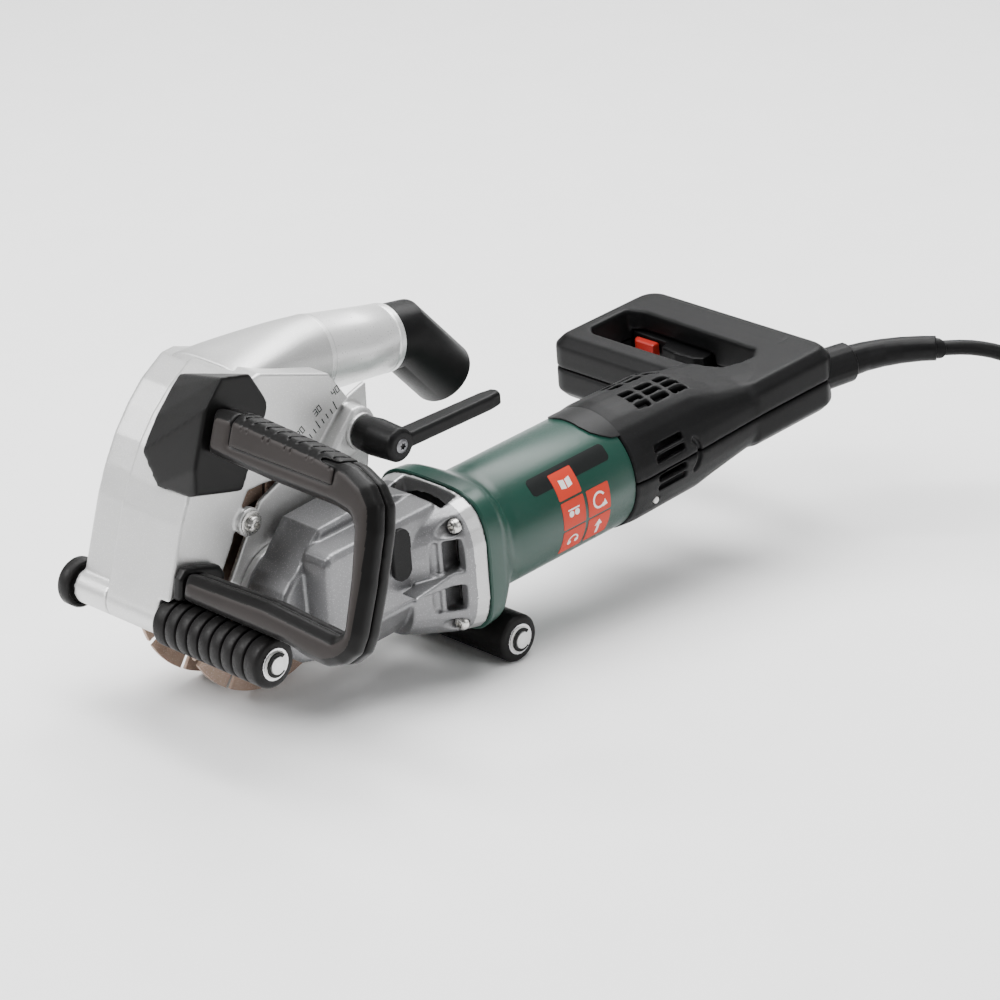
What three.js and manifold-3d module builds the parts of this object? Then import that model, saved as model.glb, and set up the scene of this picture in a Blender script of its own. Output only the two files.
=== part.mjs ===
// Wall chaser: a twin-disc masonry slotting machine, standing on its two discs and its rear roller.
// Millimetres, +Z up, +X towards the cord, +Y away from the side that the motor is on.
import * as THREE from 'three';
import { mergeVertices } from 'three/addons/utils/BufferGeometryUtils.js';
import Module from 'manifold-3d';

const wasm = await Module();
wasm.setup();

// ---------------------------------------------------------------- driving dimensions
const GAP = 0.3;                 // clearance between neighbouring pieces
const DISC_R = 62.5;             // 125 mm discs
const CUT_WIDTH = 41;            // over both discs
const SEGMENT_W = 2.4;           // width of a diamond segment
const CORE_T = 1.6;              // steel core of a disc
const DISC_Y = (CUT_WIDTH - SEGMENT_W) / 2;
const GUARD_PITCH = THREE.MathUtils.degToRad(14.83);   // nose-up pitch of the guard
const MOTOR_PITCH = THREE.MathUtils.degToRad(5.6);     // motor axis against the ground
const MOTOR_Y = -66.2;           // motor axis, to the near side of the discs
const MOTOR_R = 37.5;            // motor housing
const ROLLER_R = 14.4;
const FRONT_AXLE = { u: -76.5, w: -15.1 };             // in the guard's frame
const REAR_AXLE = { u: 131.3, w: -15 };
const AXLE_R = 5;
const GUARD_NEAR = -34;          // outside of the near wall
const GUARD_SPLIT = 16;          // joint between guard housing and guard cover
const GUARD_FAR = 42;            // outside of the cover
const WALL = 3;
const SPINDLE_R = 7;
const TUBE_R = 20;               // dust tube, outside
const TUBE_WALL = 2.6;
const TUBE_Y = 8;
const TUBE_PITCH = THREE.MathUtils.degToRad(10);
const CLAMP = { u: 30, w: 95 };  // clamp axis in the guard's frame
const HANDLE_U = -78;            // mid plane of the front handle
const HANDLE_DEPTH = 23;
const HEAD_NEAR = -88;           // near face of the gear head
const FLANGE_S = 88;             // rear face of the gear housing flange
const SKIRT = 44;                // half width of the flange
const SHELL_S = 218;             // joint of motor housing and rear shells
const BAR_N = 21;                // half height of the rear handle
const CORD_R = 4.8;
const COIL = { x: 485, y: -278, columns: 3, layers: 4, inner: 43 };

// ---------------------------------------------------------------- materials
const material = (color, roughness, metalness) =>
  new THREE.MeshStandardMaterial({ color, roughness, metalness });
const castAluminium = material(0xc9c9c8, 0.45, 0.9);
const darkAluminium = material(0x77787a, 0.5, 0.8);
const steel = material(0xa8a8aa, 0.3, 1);
const darkSteel = material(0x55565a, 0.4, 1);
const segmentGrit = material(0xb79a86, 0.8, 0.3);
const green = material(0x1f5546, 0.4, 0);
const black = material(0x1c1c1e, 0.55, 0);
const rubber = material(0x232324, 0.8, 0);
const white = material(0xe6e6e4, 0.5, 0);
const red = material(0xc03326, 0.4, 0);
const copper = material(0xb06a3a, 0.35, 1);
const carbon = material(0x2b2b2d, 0.9, 0);

// ---------------------------------------------------------------- solids
function solid(geometry) {
  const bare = geometry.index ? geometry.toNonIndexed() : geometry.clone();
  bare.deleteAttribute('normal');
  bare.deleteAttribute('uv');
  const merged = mergeVertices(bare, 1e-4);
  const position = merged.getAttribute('position').array;
  const index = Array.from(merged.index.array);
  const kept = [];
  for (let i = 0; i < index.length; i += 3) {
    const [a, b, c] = index.slice(i, i + 3);
    if (a !== b && b !== c && a !== c) kept.push(a, b, c);
  }
  if (signedVolume(position, kept) < 0) {
    for (let i = 0; i < kept.length; i += 3) [kept[i + 1], kept[i + 2]] = [kept[i + 2], kept[i + 1]];
  }
  return new wasm.Manifold(new wasm.Mesh({
    numProp: 3,
    vertProperties: new Float32Array(position),
    triVerts: new Uint32Array(kept),
  }));
}

function signedVolume(p, index) {
  let volume = 0;
  const a = new THREE.Vector3();
  const b = new THREE.Vector3();
  const c = new THREE.Vector3();
  for (let i = 0; i < index.length; i += 3) {
    a.fromArray(p, index[i] * 3);
    b.fromArray(p, index[i + 1] * 3);
    c.fromArray(p, index[i + 2] * 3);
    volume += a.dot(b.cross(c));
  }
  return volume;
}

function geometryOf(shape) {
  const mesh = shape.getMesh();
  const geometry = new THREE.BufferGeometry();
  geometry.setAttribute('position', new THREE.BufferAttribute(new Float32Array(mesh.vertProperties), 3));
  geometry.setIndex(Array.from(mesh.triVerts));
  geometry.computeVertexNormals();
  return geometry;
}

const join = (...shapes) => shapes.reduce((a, b) => a.add(b));
const cut = (shape, ...tools) => tools.reduce((a, b) => a.subtract(b), shape);

// A block between two corners.
function block(x0, x1, y0, y1, z0, z1) {
  const geometry = new THREE.BoxGeometry(x1 - x0, y1 - y0, z1 - z0);
  geometry.translate((x0 + x1) / 2, (y0 + y1) / 2, (z0 + z1) / 2);
  return solid(geometry);
}

// A cylinder along Y about the line (x, z).
function drumY(r, y0, y1, x = 0, z = 0, sides = 24) {
  const geometry = new THREE.CylinderGeometry(r, r, y1 - y0, sides);
  geometry.translate(x, (y0 + y1) / 2, z);
  return solid(geometry);
}

const ringY = (r, bore, y0, y1, x = 0, z = 0, sides = 24) =>
  cut(drumY(r, y0, y1, x, z, sides), drumY(bore, y0 - 1, y1 + 1, x, z, sides));

// A cylinder along X about the line (y, z).
function drumX(r, x0, x1, y = 0, z = 0, sides = 24) {
  const geometry = new THREE.CylinderGeometry(r, r, x1 - x0, sides);
  geometry.rotateZ(-Math.PI / 2);
  geometry.translate((x0 + x1) / 2, y, z);
  return solid(geometry);
}

// A cylinder along Z about the line (x, y).
function drumZ(r, z0, z1, x = 0, y = 0, sides = 12) {
  const geometry = new THREE.CylinderGeometry(r, r, z1 - z0, sides);
  geometry.rotateX(Math.PI / 2);
  geometry.translate(x, y, (z0 + z1) / 2);
  return solid(geometry);
}

// A turned piece along X: profile points are [x, radius], from axis to axis.
function turnedX(profile, y = 0, z = 0, sides = 24) {
  const geometry = new THREE.LatheGeometry(profile.map(([x, r]) => new THREE.Vector2(r, x)), sides);
  geometry.rotateZ(-Math.PI / 2);
  geometry.translate(0, y, z);
  return solid(geometry);
}

// A turned piece along Y: profile points are [y, radius], from axis to axis.
function turnedY(profile, sides = 24) {
  return solid(new THREE.LatheGeometry(profile.map(([y, r]) => new THREE.Vector2(r, y)), sides));
}

const outline = (points) => new THREE.Shape(points.map(([x, y]) => new THREE.Vector2(x, y)));

// A plate whose outline lies in X and Z, between two Y levels.
function plateY(points, y0, y1, bevel = 0) {
  const geometry = new THREE.ExtrudeGeometry(outline(points), bevelled(y1 - y0, bevel));
  geometry.rotateX(Math.PI / 2);
  geometry.translate(0, y1 - bevel, 0);
  return solid(geometry);
}

// A plate whose outline lies in Y and Z, between two X levels.
function plateX(points, x0, x1, bevel = 0) {
  const geometry = new THREE.ExtrudeGeometry(outline(points), bevelled(x1 - x0, bevel));
  geometry.rotateX(Math.PI / 2);
  geometry.rotateZ(Math.PI / 2);
  geometry.translate(x0 + bevel, 0, 0);
  return solid(geometry);
}

// A plate whose outline lies in X and Y, between two Z levels.
function plateZ(points, z0, z1, bevel = 0) {
  const geometry = new THREE.ExtrudeGeometry(outline(points), bevelled(z1 - z0, bevel));
  geometry.translate(0, 0, z0 + bevel);
  return solid(geometry);
}

function bevelled(height, bevel) {
  return {
    depth: height - 2 * bevel,
    bevelEnabled: bevel > 0,
    bevelThickness: bevel,
    bevelSize: bevel,
    bevelOffset: -bevel,
    bevelSegments: 1,
  };
}

// Points on an arc about (cx, cy), angles in degrees.
function arc(cx, cy, r, from, to, steps = 8) {
  return Array.from({ length: steps + 1 }, (_, i) => {
    const a = THREE.MathUtils.degToRad(from + ((to - from) * i) / steps);
    return [cx + r * Math.cos(a), cy + r * Math.sin(a)];
  });
}

// A skin over rings that all have the same number of points, closed at both ends.
function loft(rings) {
  const count = rings[0].length;
  const position = rings.flat().flatMap((p) => [p.x, p.y, p.z]);
  const index = [];
  for (let i = 0; i + 1 < rings.length; i += 1) {
    for (let j = 0; j < count; j += 1) {
      const a = i * count + j;
      const b = i * count + ((j + 1) % count);
      index.push(a, b, b + count, a, b + count, a + count);
    }
  }
  const last = (rings.length - 1) * count;
  for (let j = 1; j + 1 < count; j += 1) {
    index.push(0, j + 1, j, last, last + j, last + j + 1);
  }
  const geometry = new THREE.BufferGeometry();
  geometry.setAttribute('position', new THREE.BufferAttribute(new Float32Array(position), 3));
  geometry.setIndex(index);
  return solid(geometry);
}

// A rounded-square ring across X: half sizes a and b, power 2 is an ellipse and more is squarer.
function squareRing(x, y, z, a, b, power, count = 28) {
  return Array.from({ length: count }, (_, i) => {
    const t = (2 * Math.PI * i) / count;
    const c = Math.cos(t);
    const s = Math.sin(t);
    const bend = (v) => Math.sign(v) * Math.abs(v) ** (2 / power);
    return new THREE.Vector3(x, y + a * bend(c), z + b * bend(s));
  });
}

// A pipe along points, with the radius given at each point.
function pipe(points, radii, sides = 20) {
  let side = new THREE.Vector3(0, 0, 1);
  const rings = points.map((p, i) => {
    const before = points[Math.max(i - 1, 0)];
    const after = points[Math.min(i + 1, points.length - 1)];
    const along = after.clone().sub(before).normalize();
    side = side.clone().addScaledVector(along, -side.dot(along)).normalize();
    const up = along.clone().cross(side);
    return Array.from({ length: sides }, (_, j) => {
      const t = (2 * Math.PI * j) / sides;
      return p.clone()
        .addScaledVector(side, radii[i] * Math.cos(t))
        .addScaledVector(up, radii[i] * Math.sin(t));
    });
  });
  return loft(rings);
}

// ---------------------------------------------------------------- assembly
const model = new THREE.Group();
const onDiscs = new THREE.Group();
const motorUnit = new THREE.Group();
const guard = new THREE.Group();
const floor = new THREE.Group();
onDiscs.position.z = DISC_R;
motorUnit.rotation.y = -MOTOR_PITCH;
guard.rotation.y = GUARD_PITCH;
onDiscs.add(motorUnit, guard);
model.add(onDiscs, floor);

function add(group, name, shape, look) {
  const mesh = new THREE.Mesh(geometryOf(shape), look);
  mesh.name = name;
  group.add(mesh);
  return mesh;
}

// ---------------------------------------------------------------- spindle and discs
const HUB_BORE = SPINDLE_R + GAP;

function disc() {
  const segments = 10;
  const slot = 5.2;
  const root = DISC_R - 9;
  const points = [];
  for (let i = 0; i < segments; i += 1) {
    const middle = (360 / segments) * i - 90;
    const half = 180 / segments - slot / 2;
    points.push(...arc(0, 0, DISC_R, middle - half, middle + half, 3));
    points.push(...arc(0, 0, root, middle + half, middle + half + slot, 1));
  }
  return points;
}

function addDisc(name, y) {
  const core = plateY(arc(0, 0, DISC_R - 7, 0, 342, 19), y - CORE_T / 2, y + CORE_T / 2);
  const rim = cut(
    plateY(disc(), y - SEGMENT_W / 2, y + SEGMENT_W / 2),
    drumY(DISC_R - 9.5, y - 5, y + 5, 0, 0, 20),
  );
  const slots = plateY(disc(), y - CORE_T / 2, y + CORE_T / 2);
  const body = join(slots.intersect(core), rim);
  add(motorUnit, name, cut(body, drumY(HUB_BORE, y - 5, y + 5)), segmentGrit);
}

addDisc('disc_near', -DISC_Y);
addDisc('disc_far', DISC_Y);

const coreFace = DISC_Y + CORE_T / 2 + GAP;
add(motorUnit, 'inner_flange', ringY(20, HUB_BORE, -coreFace - 2.8, -coreFace), steel);
const spacerEnd = DISC_Y - CORE_T / 2 - GAP;
const spacerLength = (2 * spacerEnd - GAP) / 2;
for (let i = 0; i < 2; i += 1) {
  const y = -spacerEnd + i * (spacerLength + GAP);
  add(motorUnit, `spacer_ring_${i + 1}`, ringY(17, HUB_BORE, y, y + spacerLength), steel);
}
const nut = cut(
  join(ringY(19.5, HUB_BORE, coreFace, coreFace + 6), ringY(13, HUB_BORE, coreFace + 6, coreFace + 10)),
  ...arc(0, 0, 16, 45, 315, 3).map(([x, z]) => drumY(2.2, coreFace + 3, coreFace + 12, x, z, 12)),
);
add(motorUnit, 'clamping_nut', nut, darkSteel);

const spindle = turnedY([
  [-83, 0], [-83, 5], [-70, 5], [-70, SPINDLE_R], [31.5, SPINDLE_R], [33, SPINDLE_R - 1.5], [33, 0],
]);
add(motorUnit, 'spindle', spindle, steel);

// ---------------------------------------------------------------- bevel gears
// The crown gear faces the near side. Its teeth are straight blocks with flat-topped gaps,
// and the pinion's teeth stand in the gaps.
const CROWN_TEETH = 33;
const PINION_TEETH = 11;
const CROWN_R = 27;
const CROWN_Y = -57.6;
const PINION_R = 8.4;

function crownGear() {
  const tooth = (2 * Math.PI * CROWN_R) / CROWN_TEETH;
  const teeth = [];
  for (let i = 0; i < CROWN_TEETH; i += 1) {
    const bar = new THREE.BoxGeometry(9, 2.2, tooth * 0.36);
    bar.translate(CROWN_R - 5, CROWN_Y - 0.9, 0);
    bar.rotateY(((i + 0.5) * 2 * Math.PI) / CROWN_TEETH);
    teeth.push(solid(bar));
  }
  return cut(join(ringY(CROWN_R, HUB_BORE, CROWN_Y, CROWN_Y + 6, 0, 0, 33), ringY(13, HUB_BORE,
    CROWN_Y + 5, CROWN_Y + 12, 0, 0, 24), ...teeth), drumY(HUB_BORE, -90, 0));
}

add(motorUnit, 'bevel_gear', crownGear(), darkSteel);

function pinion() {
  const core = turnedX([[16, 0], [16, 5.2], [28, 5.6], [28, 0]], MOTOR_Y, 0, 11);
  const teeth = [];
  for (let i = 0; i < PINION_TEETH; i += 1) {
    const bar = new THREE.BoxGeometry(9.5, 0.95, 2.2);
    bar.translate(22.2, 0, 6.1);
    bar.rotateX(((i + 0.5) * 2 * Math.PI) / PINION_TEETH + Math.PI / 2);
    bar.translate(0, MOTOR_Y, 0);
    teeth.push(solid(bar));
  }
  return cut(join(core, ...teeth), drumX(4 + GAP, 10, 40, MOTOR_Y, 0, 20));
}

add(motorUnit, 'bevel_pinion', pinion(), darkSteel);

// ---------------------------------------------------------------- armature
const shaft = turnedX([
  [15, 0], [15, 4], [60, 4], [60, 5], [214, 5], [214, 3.9], [230, 3.9], [230, 0],
], MOTOR_Y, 0, 24);
const rotor = join(shaft, drumX(21, 118, 172, MOTOR_Y, 0, 24), drumX(16, 110, 180, MOTOR_Y, 0, 24),
  drumX(13, 180, 202, MOTOR_Y, 0, 24));
add(motorUnit, 'armature', rotor, copper);

function fan() {
  const blades = [];
  for (let i = 0; i < 11; i += 1) {
    const blade = new THREE.BoxGeometry(9, 1.6, 17);
    blade.translate(99, 0, 22.5);
    blade.rotateX((i * 2 * Math.PI) / 11);
    blade.translate(0, MOTOR_Y, 0);
    blades.push(solid(blade));
  }
  const hub = join(drumX(31.5, 102.5, 104, MOTOR_Y, 0, 24), drumX(12, 94.5, 104, MOTOR_Y, 0, 24), ...blades);
  return cut(hub, drumX(5 + GAP, 80, 110, MOTOR_Y, 0, 24));
}

add(motorUnit, 'cooling_fan', fan(), black);

const bearingX = (r, bore, x0, x1) =>
  cut(drumX(r, x0, x1, MOTOR_Y, 0, 24), drumX(bore, x0 - 1, x1 + 1, MOTOR_Y, 0, 24));
add(motorUnit, 'armature_bearing_front', bearingX(16, 5 + GAP, 72, 82), steel);
add(motorUnit, 'armature_bearing_rear', bearingX(11, 3.9 + GAP, 218.6, 225.4), steel);
add(motorUnit, 'spindle_bearing_inner', ringY(15, HUB_BORE, -44.5, -34.5, 0, 0, 24), steel);
add(motorUnit, 'spindle_bearing_outer', ringY(10, 5 + GAP, -81, -73, 0, 0, 24), steel);

// ---------------------------------------------------------------- gear housing
const lockSlot = { s: 37, n: 26 };

function gearHousing() {
  const pot = plateY([
    ...arc(0, 0, 33, 235, 118, 9), [-6, 40], [2, 48], [46, 50], [72, 42], [72, -38], [20, -38],
  ], -68, -36, 2);
  const nose = plateY([
    ...arc(-7, 36, 6, 180, 90, 2), [72, 42], [72, -36], [30, -36], [-4, -15], [-13, -8],
  ], HEAD_NEAR, -66, 2.5);
  const rounding = plateX([
    [-30, 60], [-80, 60], [HEAD_NEAR, 38], [HEAD_NEAR, -12], [-81, -24], [-72, -34], [-62, -38], [-30, -38],
  ], -60, 100);
  const neck = loft([
    squareRing(48, MOTOR_Y + 3, 0, 26, 36, 3.4),
    squareRing(56, MOTOR_Y, 0, 28, 38, 3.4),
    squareRing(76, MOTOR_Y, 0, SKIRT - 2, SKIRT - 2, 3.4),
    squareRing(FLANGE_S, MOTOR_Y, 0, SKIRT, SKIRT, 3.6),
  ]);
  const gearRoom = join(
    drumY(30, -65, -40, 0, 0, 24),
    drumY(10 + GAP, -83.3, -64, 0, 0, 24),
    drumX(12, 12, 66, MOTOR_Y, 0, 24),
  );
  const bearingSeats = join(
    drumX(16 + GAP, 60, 82 + GAP, MOTOR_Y, 0, 24),
    drumX(36.5, 82, FLANGE_S + 2, MOTOR_Y, 0, 24),
    drumY(15 + GAP, -45, -30, 0, 0, 24),
  );
  const vents = [[4, 24], [-20, -4]].map(([low, high]) => join(
    block(57, 74, -120, -94, low, high),
    block(72, 85, -101, -94, low + 1, high - 1),
  ));
  const topVent = block(74, 86, -90, -48, 28, 60);
  return cut(join(join(pot, nose).intersect(rounding), neck), gearRoom, bearingSeats, ...vents, topVent,
    ...flangeScrews(4.9, 40, SCREW_S + 5.1), ...flangeScrews(2.4 + GAP, 60, FLANGE_S + 2),
    drumY(2.8, HEAD_NEAR - 2, -80, lockSlot.s, lockSlot.n, 16));
}

const SCREW_S = 71;
const screwPlaces = [[-33.2, 30.5], [-33.2, -30.5], [33.2, 30.5], [33.2, -30.5]];

function flangeScrews(r, s0, s1) {
  return screwPlaces.map(([y, n]) => drumX(r, s0, s1, MOTOR_Y + y, n, 16));
}

add(motorUnit, 'gear_housing', gearHousing(), castAluminium);

screwPlaces.forEach(([y, n], i) => {
  const screw = join(drumX(4.6, SCREW_S, SCREW_S + 4.8, MOTOR_Y + y, n, 16),
    drumX(2.4, SCREW_S + 4, 95, MOTOR_Y + y, n, 12));
  add(motorUnit, `housing_screw_${i + 1}`, screw, darkSteel);
});

const bearingFlange = cut(ringY(32, 12, -35.7, -31), drumY(15 + GAP, -40, -34.1));
add(motorUnit, 'bearing_flange', bearingFlange, darkAluminium);

const spindleLock = join(
  plateY([...arc(lockSlot.s, lockSlot.n + 9, 7, 0, 180, 8), ...arc(lockSlot.s, lockSlot.n - 9, 7, 180, 360, 8)],
    HEAD_NEAR - 7, HEAD_NEAR - 3.6),
  drumY(2.5, HEAD_NEAR - 4, HEAD_NEAR + 3, lockSlot.s, lockSlot.n, 16),
);
add(motorUnit, 'spindle_lock_button', spindleLock, black);

// ---------------------------------------------------------------- motor housing
function motorHousing() {
  const skin = loft([
    squareRing(FLANGE_S + GAP, MOTOR_Y, 0, SKIRT + 1, SKIRT + 1, 3.8),
    squareRing(100, MOTOR_Y, 0, SKIRT + 0.5, SKIRT + 0.5, 3.6),
    squareRing(107, MOTOR_Y, 0, 41, 41, 3),
    squareRing(115, MOTOR_Y, 0, MOTOR_R, MOTOR_R, 2),
    squareRing(SHELL_S, MOTOR_Y, 0, MOTOR_R, MOTOR_R, 2),
  ]);
  return cut(skin, drumX(34.5, 80, 230, MOTOR_Y, 0, 24), ...flangeScrews(2.4 + GAP, 80, 96));
}

add(motorUnit, 'motor_housing', motorHousing(), green);
add(motorUnit, 'stator', cut(drumX(34, 120, 170, MOTOR_Y, 0, 24), drumX(22.5, 110, 180, MOTOR_Y, 0, 24)), darkSteel);
for (const [name, side] of [['near', -1], ['far', 1]]) {
  const inner = MOTOR_Y + side * 13.6;
  const outer = MOTOR_Y + side * 30;
  const holder = block(185, 197, Math.min(inner, outer), Math.max(inner, outer), -6, 6);
  add(motorUnit, `brush_holder_${name}`, holder, carbon);
}

// ---------------------------------------------------------------- rear shells and loop handle
const collarPath = [new THREE.Vector3(399, -86.5, 0), new THREE.Vector3(424, -92.5, 0)];
const triggerPin = { s: 381.5, y: 34 };

function rearBody() {
  const barrel = loft([
    squareRing(SHELL_S + GAP, MOTOR_Y, 0, 38.5, 38.5, 2),
    squareRing(228, MOTOR_Y, 0, 39.5, 39.5, 2),
    squareRing(282, MOTOR_Y, 0, 38, 36.5, 2.3),
    squareRing(304, MOTOR_Y - 1, 0, 36, 29, 2.8),
    squareRing(326, MOTOR_Y - 2, 0, 34, 24, 3.2),
    squareRing(352, MOTOR_Y - 3, 0, 32.5, BAR_N, 3.6),
  ]);
  const loop = plateZ([
    [318, -60], [312, -40], [312, 44], ...arc(322, 45, 10, 180, 90, 3), [388, 55],
    ...arc(392, 39, 16, 80, 10, 3), [407, -80], ...arc(392, -87, 15, 0, -80, 3), [330, -102], [318, -96],
  ], -BAR_N, BAR_N, 6);
  const fingerHole = plateZ([
    [331, -58], [337, -68], [362, -70], [371, -64], [374, 30], [370, 41], [337, 41], [331, 34],
  ], -40, 40);
  return cut(join(barrel, loop), fingerHole);
}

function rearShells() {
  const room = join(
    loft([
      squareRing(226, MOTOR_Y, 0, 35.5, 35.5, 2),
      squareRing(282, MOTOR_Y, 0, 34, 32.5, 2.3),
      squareRing(304, MOTOR_Y - 1, 0, 32, 25, 2.8),
      squareRing(318, MOTOR_Y - 5, 0, 26, 18, 3.2),
    ]),
    plateZ([[300, -97], [396, -97], [402, -90], [402, 34], [394, 45], [378.5, 45], [378.5, -74.5], [300, -74.5]],
      -16.5, 16.5),
  );
  const bosses = join(
    drumZ(3.6, 8, 17, triggerPin.s, triggerPin.y, 16),
    drumZ(3.6, -17, -8, triggerPin.s, triggerPin.y, 16),
  );
  const hollow = join(cut(rearBody(), room), bosses);
  return cut(hollow,
    drumX(11 + GAP, 210, 230, MOTOR_Y, 0, 24),
    block(360, 380, -29, 40.5, -7.5, 7.5),
    drumZ(1.8, -11.5, 11.5, triggerPin.s, triggerPin.y, 12),
    pipe([new THREE.Vector3(390, -84.3, 0), new THREE.Vector3(430, -94, 0)], [13 + GAP, 13 + GAP]));
}

const shells = rearShells();
const upperHalf = block(200, 450, -150, 100, GAP / 2, 60);
const lowerHalf = block(200, 450, -150, 100, -60, -GAP / 2);
add(motorUnit, 'rear_shell_upper', shells.intersect(upperHalf), black);
add(motorUnit, 'rear_shell_lower', shells.intersect(lowerHalf), black);

add(motorUnit, 'switch_module', block(384.5, 400.5, -26, 22, -13, 13), black);
add(motorUnit, 'electronics_module', block(240, 292, -88, -44, -16, 16), black);
add(motorUnit, 'trigger_pin', drumZ(1.5, -11, 11, triggerPin.s, triggerPin.y, 12), steel);
const triggerBlade = cut(
  plateZ([
    [371.5, 38.5], [384, 38.5], [384, 30], [379, 24], [377.5, -22], [374, -26], [365, -26], [362, -21],
    [361, -6], [363.5, 7], [370.5, 9],
  ], -6.5, 6.5),
  drumZ(1.8, -20, 20, triggerPin.s, triggerPin.y, 12),
);
add(motorUnit, 'trigger', triggerBlade, black);
add(motorUnit, 'lock_off_button', plateZ([[364, 15], [370, 15], [370, 33], [367, 33], [364, 30]], -5, 5, 0.8), red);

add(motorUnit, 'cord_collar', cut(
  pipe(collarPath, [13, 12.6]),
  pipe([new THREE.Vector3(380, -82, 0), new THREE.Vector3(440, -96.4, 0)], [5.2, 5.2], 16),
), black);

// The sleeve leaves along the collar and bends towards the near side.
const sleevePath = [[425.4, -92.9], [436, -96], [447, -101.5], [457, -108.5], [466, -117], [472, -124.5]]
  .map(([s, y]) => new THREE.Vector3(s, y, 0));
add(motorUnit, 'cord_sleeve', pipe(sleevePath, [9.9, 9.3, 8.8, 8.4, 8, 7.8], 24), rubber);

// ---------------------------------------------------------------- inner hood and hinge lug
// The hood goes up and down with the discs, inside the guard. Its lug turns on the rear axle,
// and its arm carries the clamp along the guard's depth scale.
const TILT = GUARD_PITCH + MOTOR_PITCH;
const inMotorFrame = ([u, w]) => [
  u * Math.cos(TILT) + w * Math.sin(TILT),
  -u * Math.sin(TILT) + w * Math.cos(TILT),
];
const pivot = inMotorFrame([REAR_AXLE.u, REAR_AXLE.w]);
const clampAt = inMotorFrame([CLAMP.u, CLAMP.w]);
const SCALE_R = 165;             // edge of the scale plate, about the rear axle
const HOOD_NEAR = GUARD_NEAR + WALL + GAP;

const aboutRearAxle = (r, from, to, steps = 8) => arc(REAR_AXLE.u, REAR_AXLE.w, r, from, to, steps);

function innerHood() {
  const side = plateY([
    [-20, -1], [-39, 6], [-33, 32], [-27, 52], ...aboutRearAxle(SCALE_R - 1.2, 150, 124, 6),
    [52, 84], [60, 40], [62, 12], [50, 4],
  ].map(inMotorFrame), HOOD_NEAR, HOOD_NEAR + WALL);
  const band = plateY([...arc(0, 0, 68, 72, -18, 10), ...arc(0, 0, 65.5, -18, 72, 10)], HOOD_NEAR, 27);
  const lug = plateY([
    [62, -14], [66, 6], [pivot[0] + 6, pivot[1] + 9], ...arc(pivot[0], pivot[1], 10, 30, -120, 6), [60, -19],
  ], -13, -2);
  const boss = plateY([
    ...arc(...clampAt, 14, 100, -60, 8), inMotorFrame([24, 76]), inMotorFrame([10, 80]),
  ], -42, HOOD_NEAR + 0.5, 2);
  return cut(join(side, band, lug, boss),
    block(54, 100, -44, -21.5, -46, 46),
    drumY(12.3, -40, 0),
    drumY(AXLE_R + GAP, -20, 5, ...pivot, 24),
    drumY(4 + GAP, -60, 0, ...clampAt, 20));
}

add(motorUnit, 'inner_hood', innerHood(), darkAluminium);

const clampBolt = join(
  drumY(4, -52, HOOD_NEAR + WALL + 0.6, ...clampAt, 20),
  drumY(8, HOOD_NEAR + WALL + GAP, HOOD_NEAR + WALL + 4, ...clampAt, 6),
);
add(motorUnit, 'clamp_bolt', clampBolt, steel);
add(motorUnit, 'clamp_washer', ringY(11, 4 + GAP, -44.6, -42.3, ...clampAt), steel);

// ---------------------------------------------------------------- clamp lever
const leverArm = new THREE.Group();
leverArm.position.set(CLAMP.u, 0, CLAMP.w);
leverArm.rotation.y = -THREE.MathUtils.degToRad(20.5);
guard.add(leverArm);

function clampLever() {
  const hub = turnedY([[-76, 0], [-76, 8], [-74, 10], [-56, 11], [-45, 10], [-45, 0]], 32);
  const arm = plateZ([
    [0, -75], [8, -75.5], [70, -78], [78, -77], [80, -73], [78, -69], [70, -67], [10, -63], [0, -62],
  ], -4.5, 4.5, 1.5);
  return cut(join(hub, arm), drumY(4 + GAP, -53, -40, 0, 0, 20));
}

add(leverArm, 'clamp_lever', clampLever(), black);

// ---------------------------------------------------------------- axles, rollers and wheels
const ROLLER_NEAR = { front: -111.3, rear: -99.7 };
const axleClip = 0.8;

function roller(y0, y1, axle) {
  return ringY(ROLLER_R, AXLE_R + 4.6, y0, y1, axle.x, axle.z, 36);
}

function bush(y0, y1, axle) {
  return ringY(AXLE_R + 4.3, AXLE_R + GAP, y0, y1, axle.x, axle.z, 20);
}

function addRoller(group, name, y0, y1, axle) {
  add(group, name, roller(y0, y1, axle), rubber);
  add(group, `${name}_bush`, bush(y0 - 0.5, y1, axle), white);
}

const wheel = (y0, y1, axle) => ringY(ROLLER_R, AXLE_R + GAP, y0, y1, axle.x, axle.z, 36);

const frontAxle = { x: FRONT_AXLE.u, z: FRONT_AXLE.w };
const rearAxle = { x: pivot[0], z: pivot[1] };

function axleRod(y0, y1, axle) {
  return join(
    drumY(AXLE_R, y0, y1, axle.x, axle.z, 16),
    ringY(AXLE_R + 2.2, AXLE_R - 0.5, y0 + 1.2, y0 + 1.2 + axleClip, axle.x, axle.z, 16),
    ringY(AXLE_R + 2.2, AXLE_R - 0.5, y1 - 1.2 - axleClip, y1 - 1.2, axle.x, axle.z, 16),
  );
}

add(guard, 'front_axle', axleRod(ROLLER_NEAR.front - 3, 56.8, frontAxle), steel);
addRoller(guard, 'front_roller', ROLLER_NEAR.front, -26.6, frontAxle);
add(guard, 'front_wheel', wheel(45.2, 53.6, frontAxle), rubber);
add(motorUnit, 'rear_axle', axleRod(ROLLER_NEAR.rear - 3, 56.8, rearAxle), steel);
addRoller(motorUnit, 'rear_roller', ROLLER_NEAR.rear, -14.4, rearAxle);
add(motorUnit, 'rear_wheel', wheel(45.2, 53.6, rearAxle), rubber);

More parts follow.
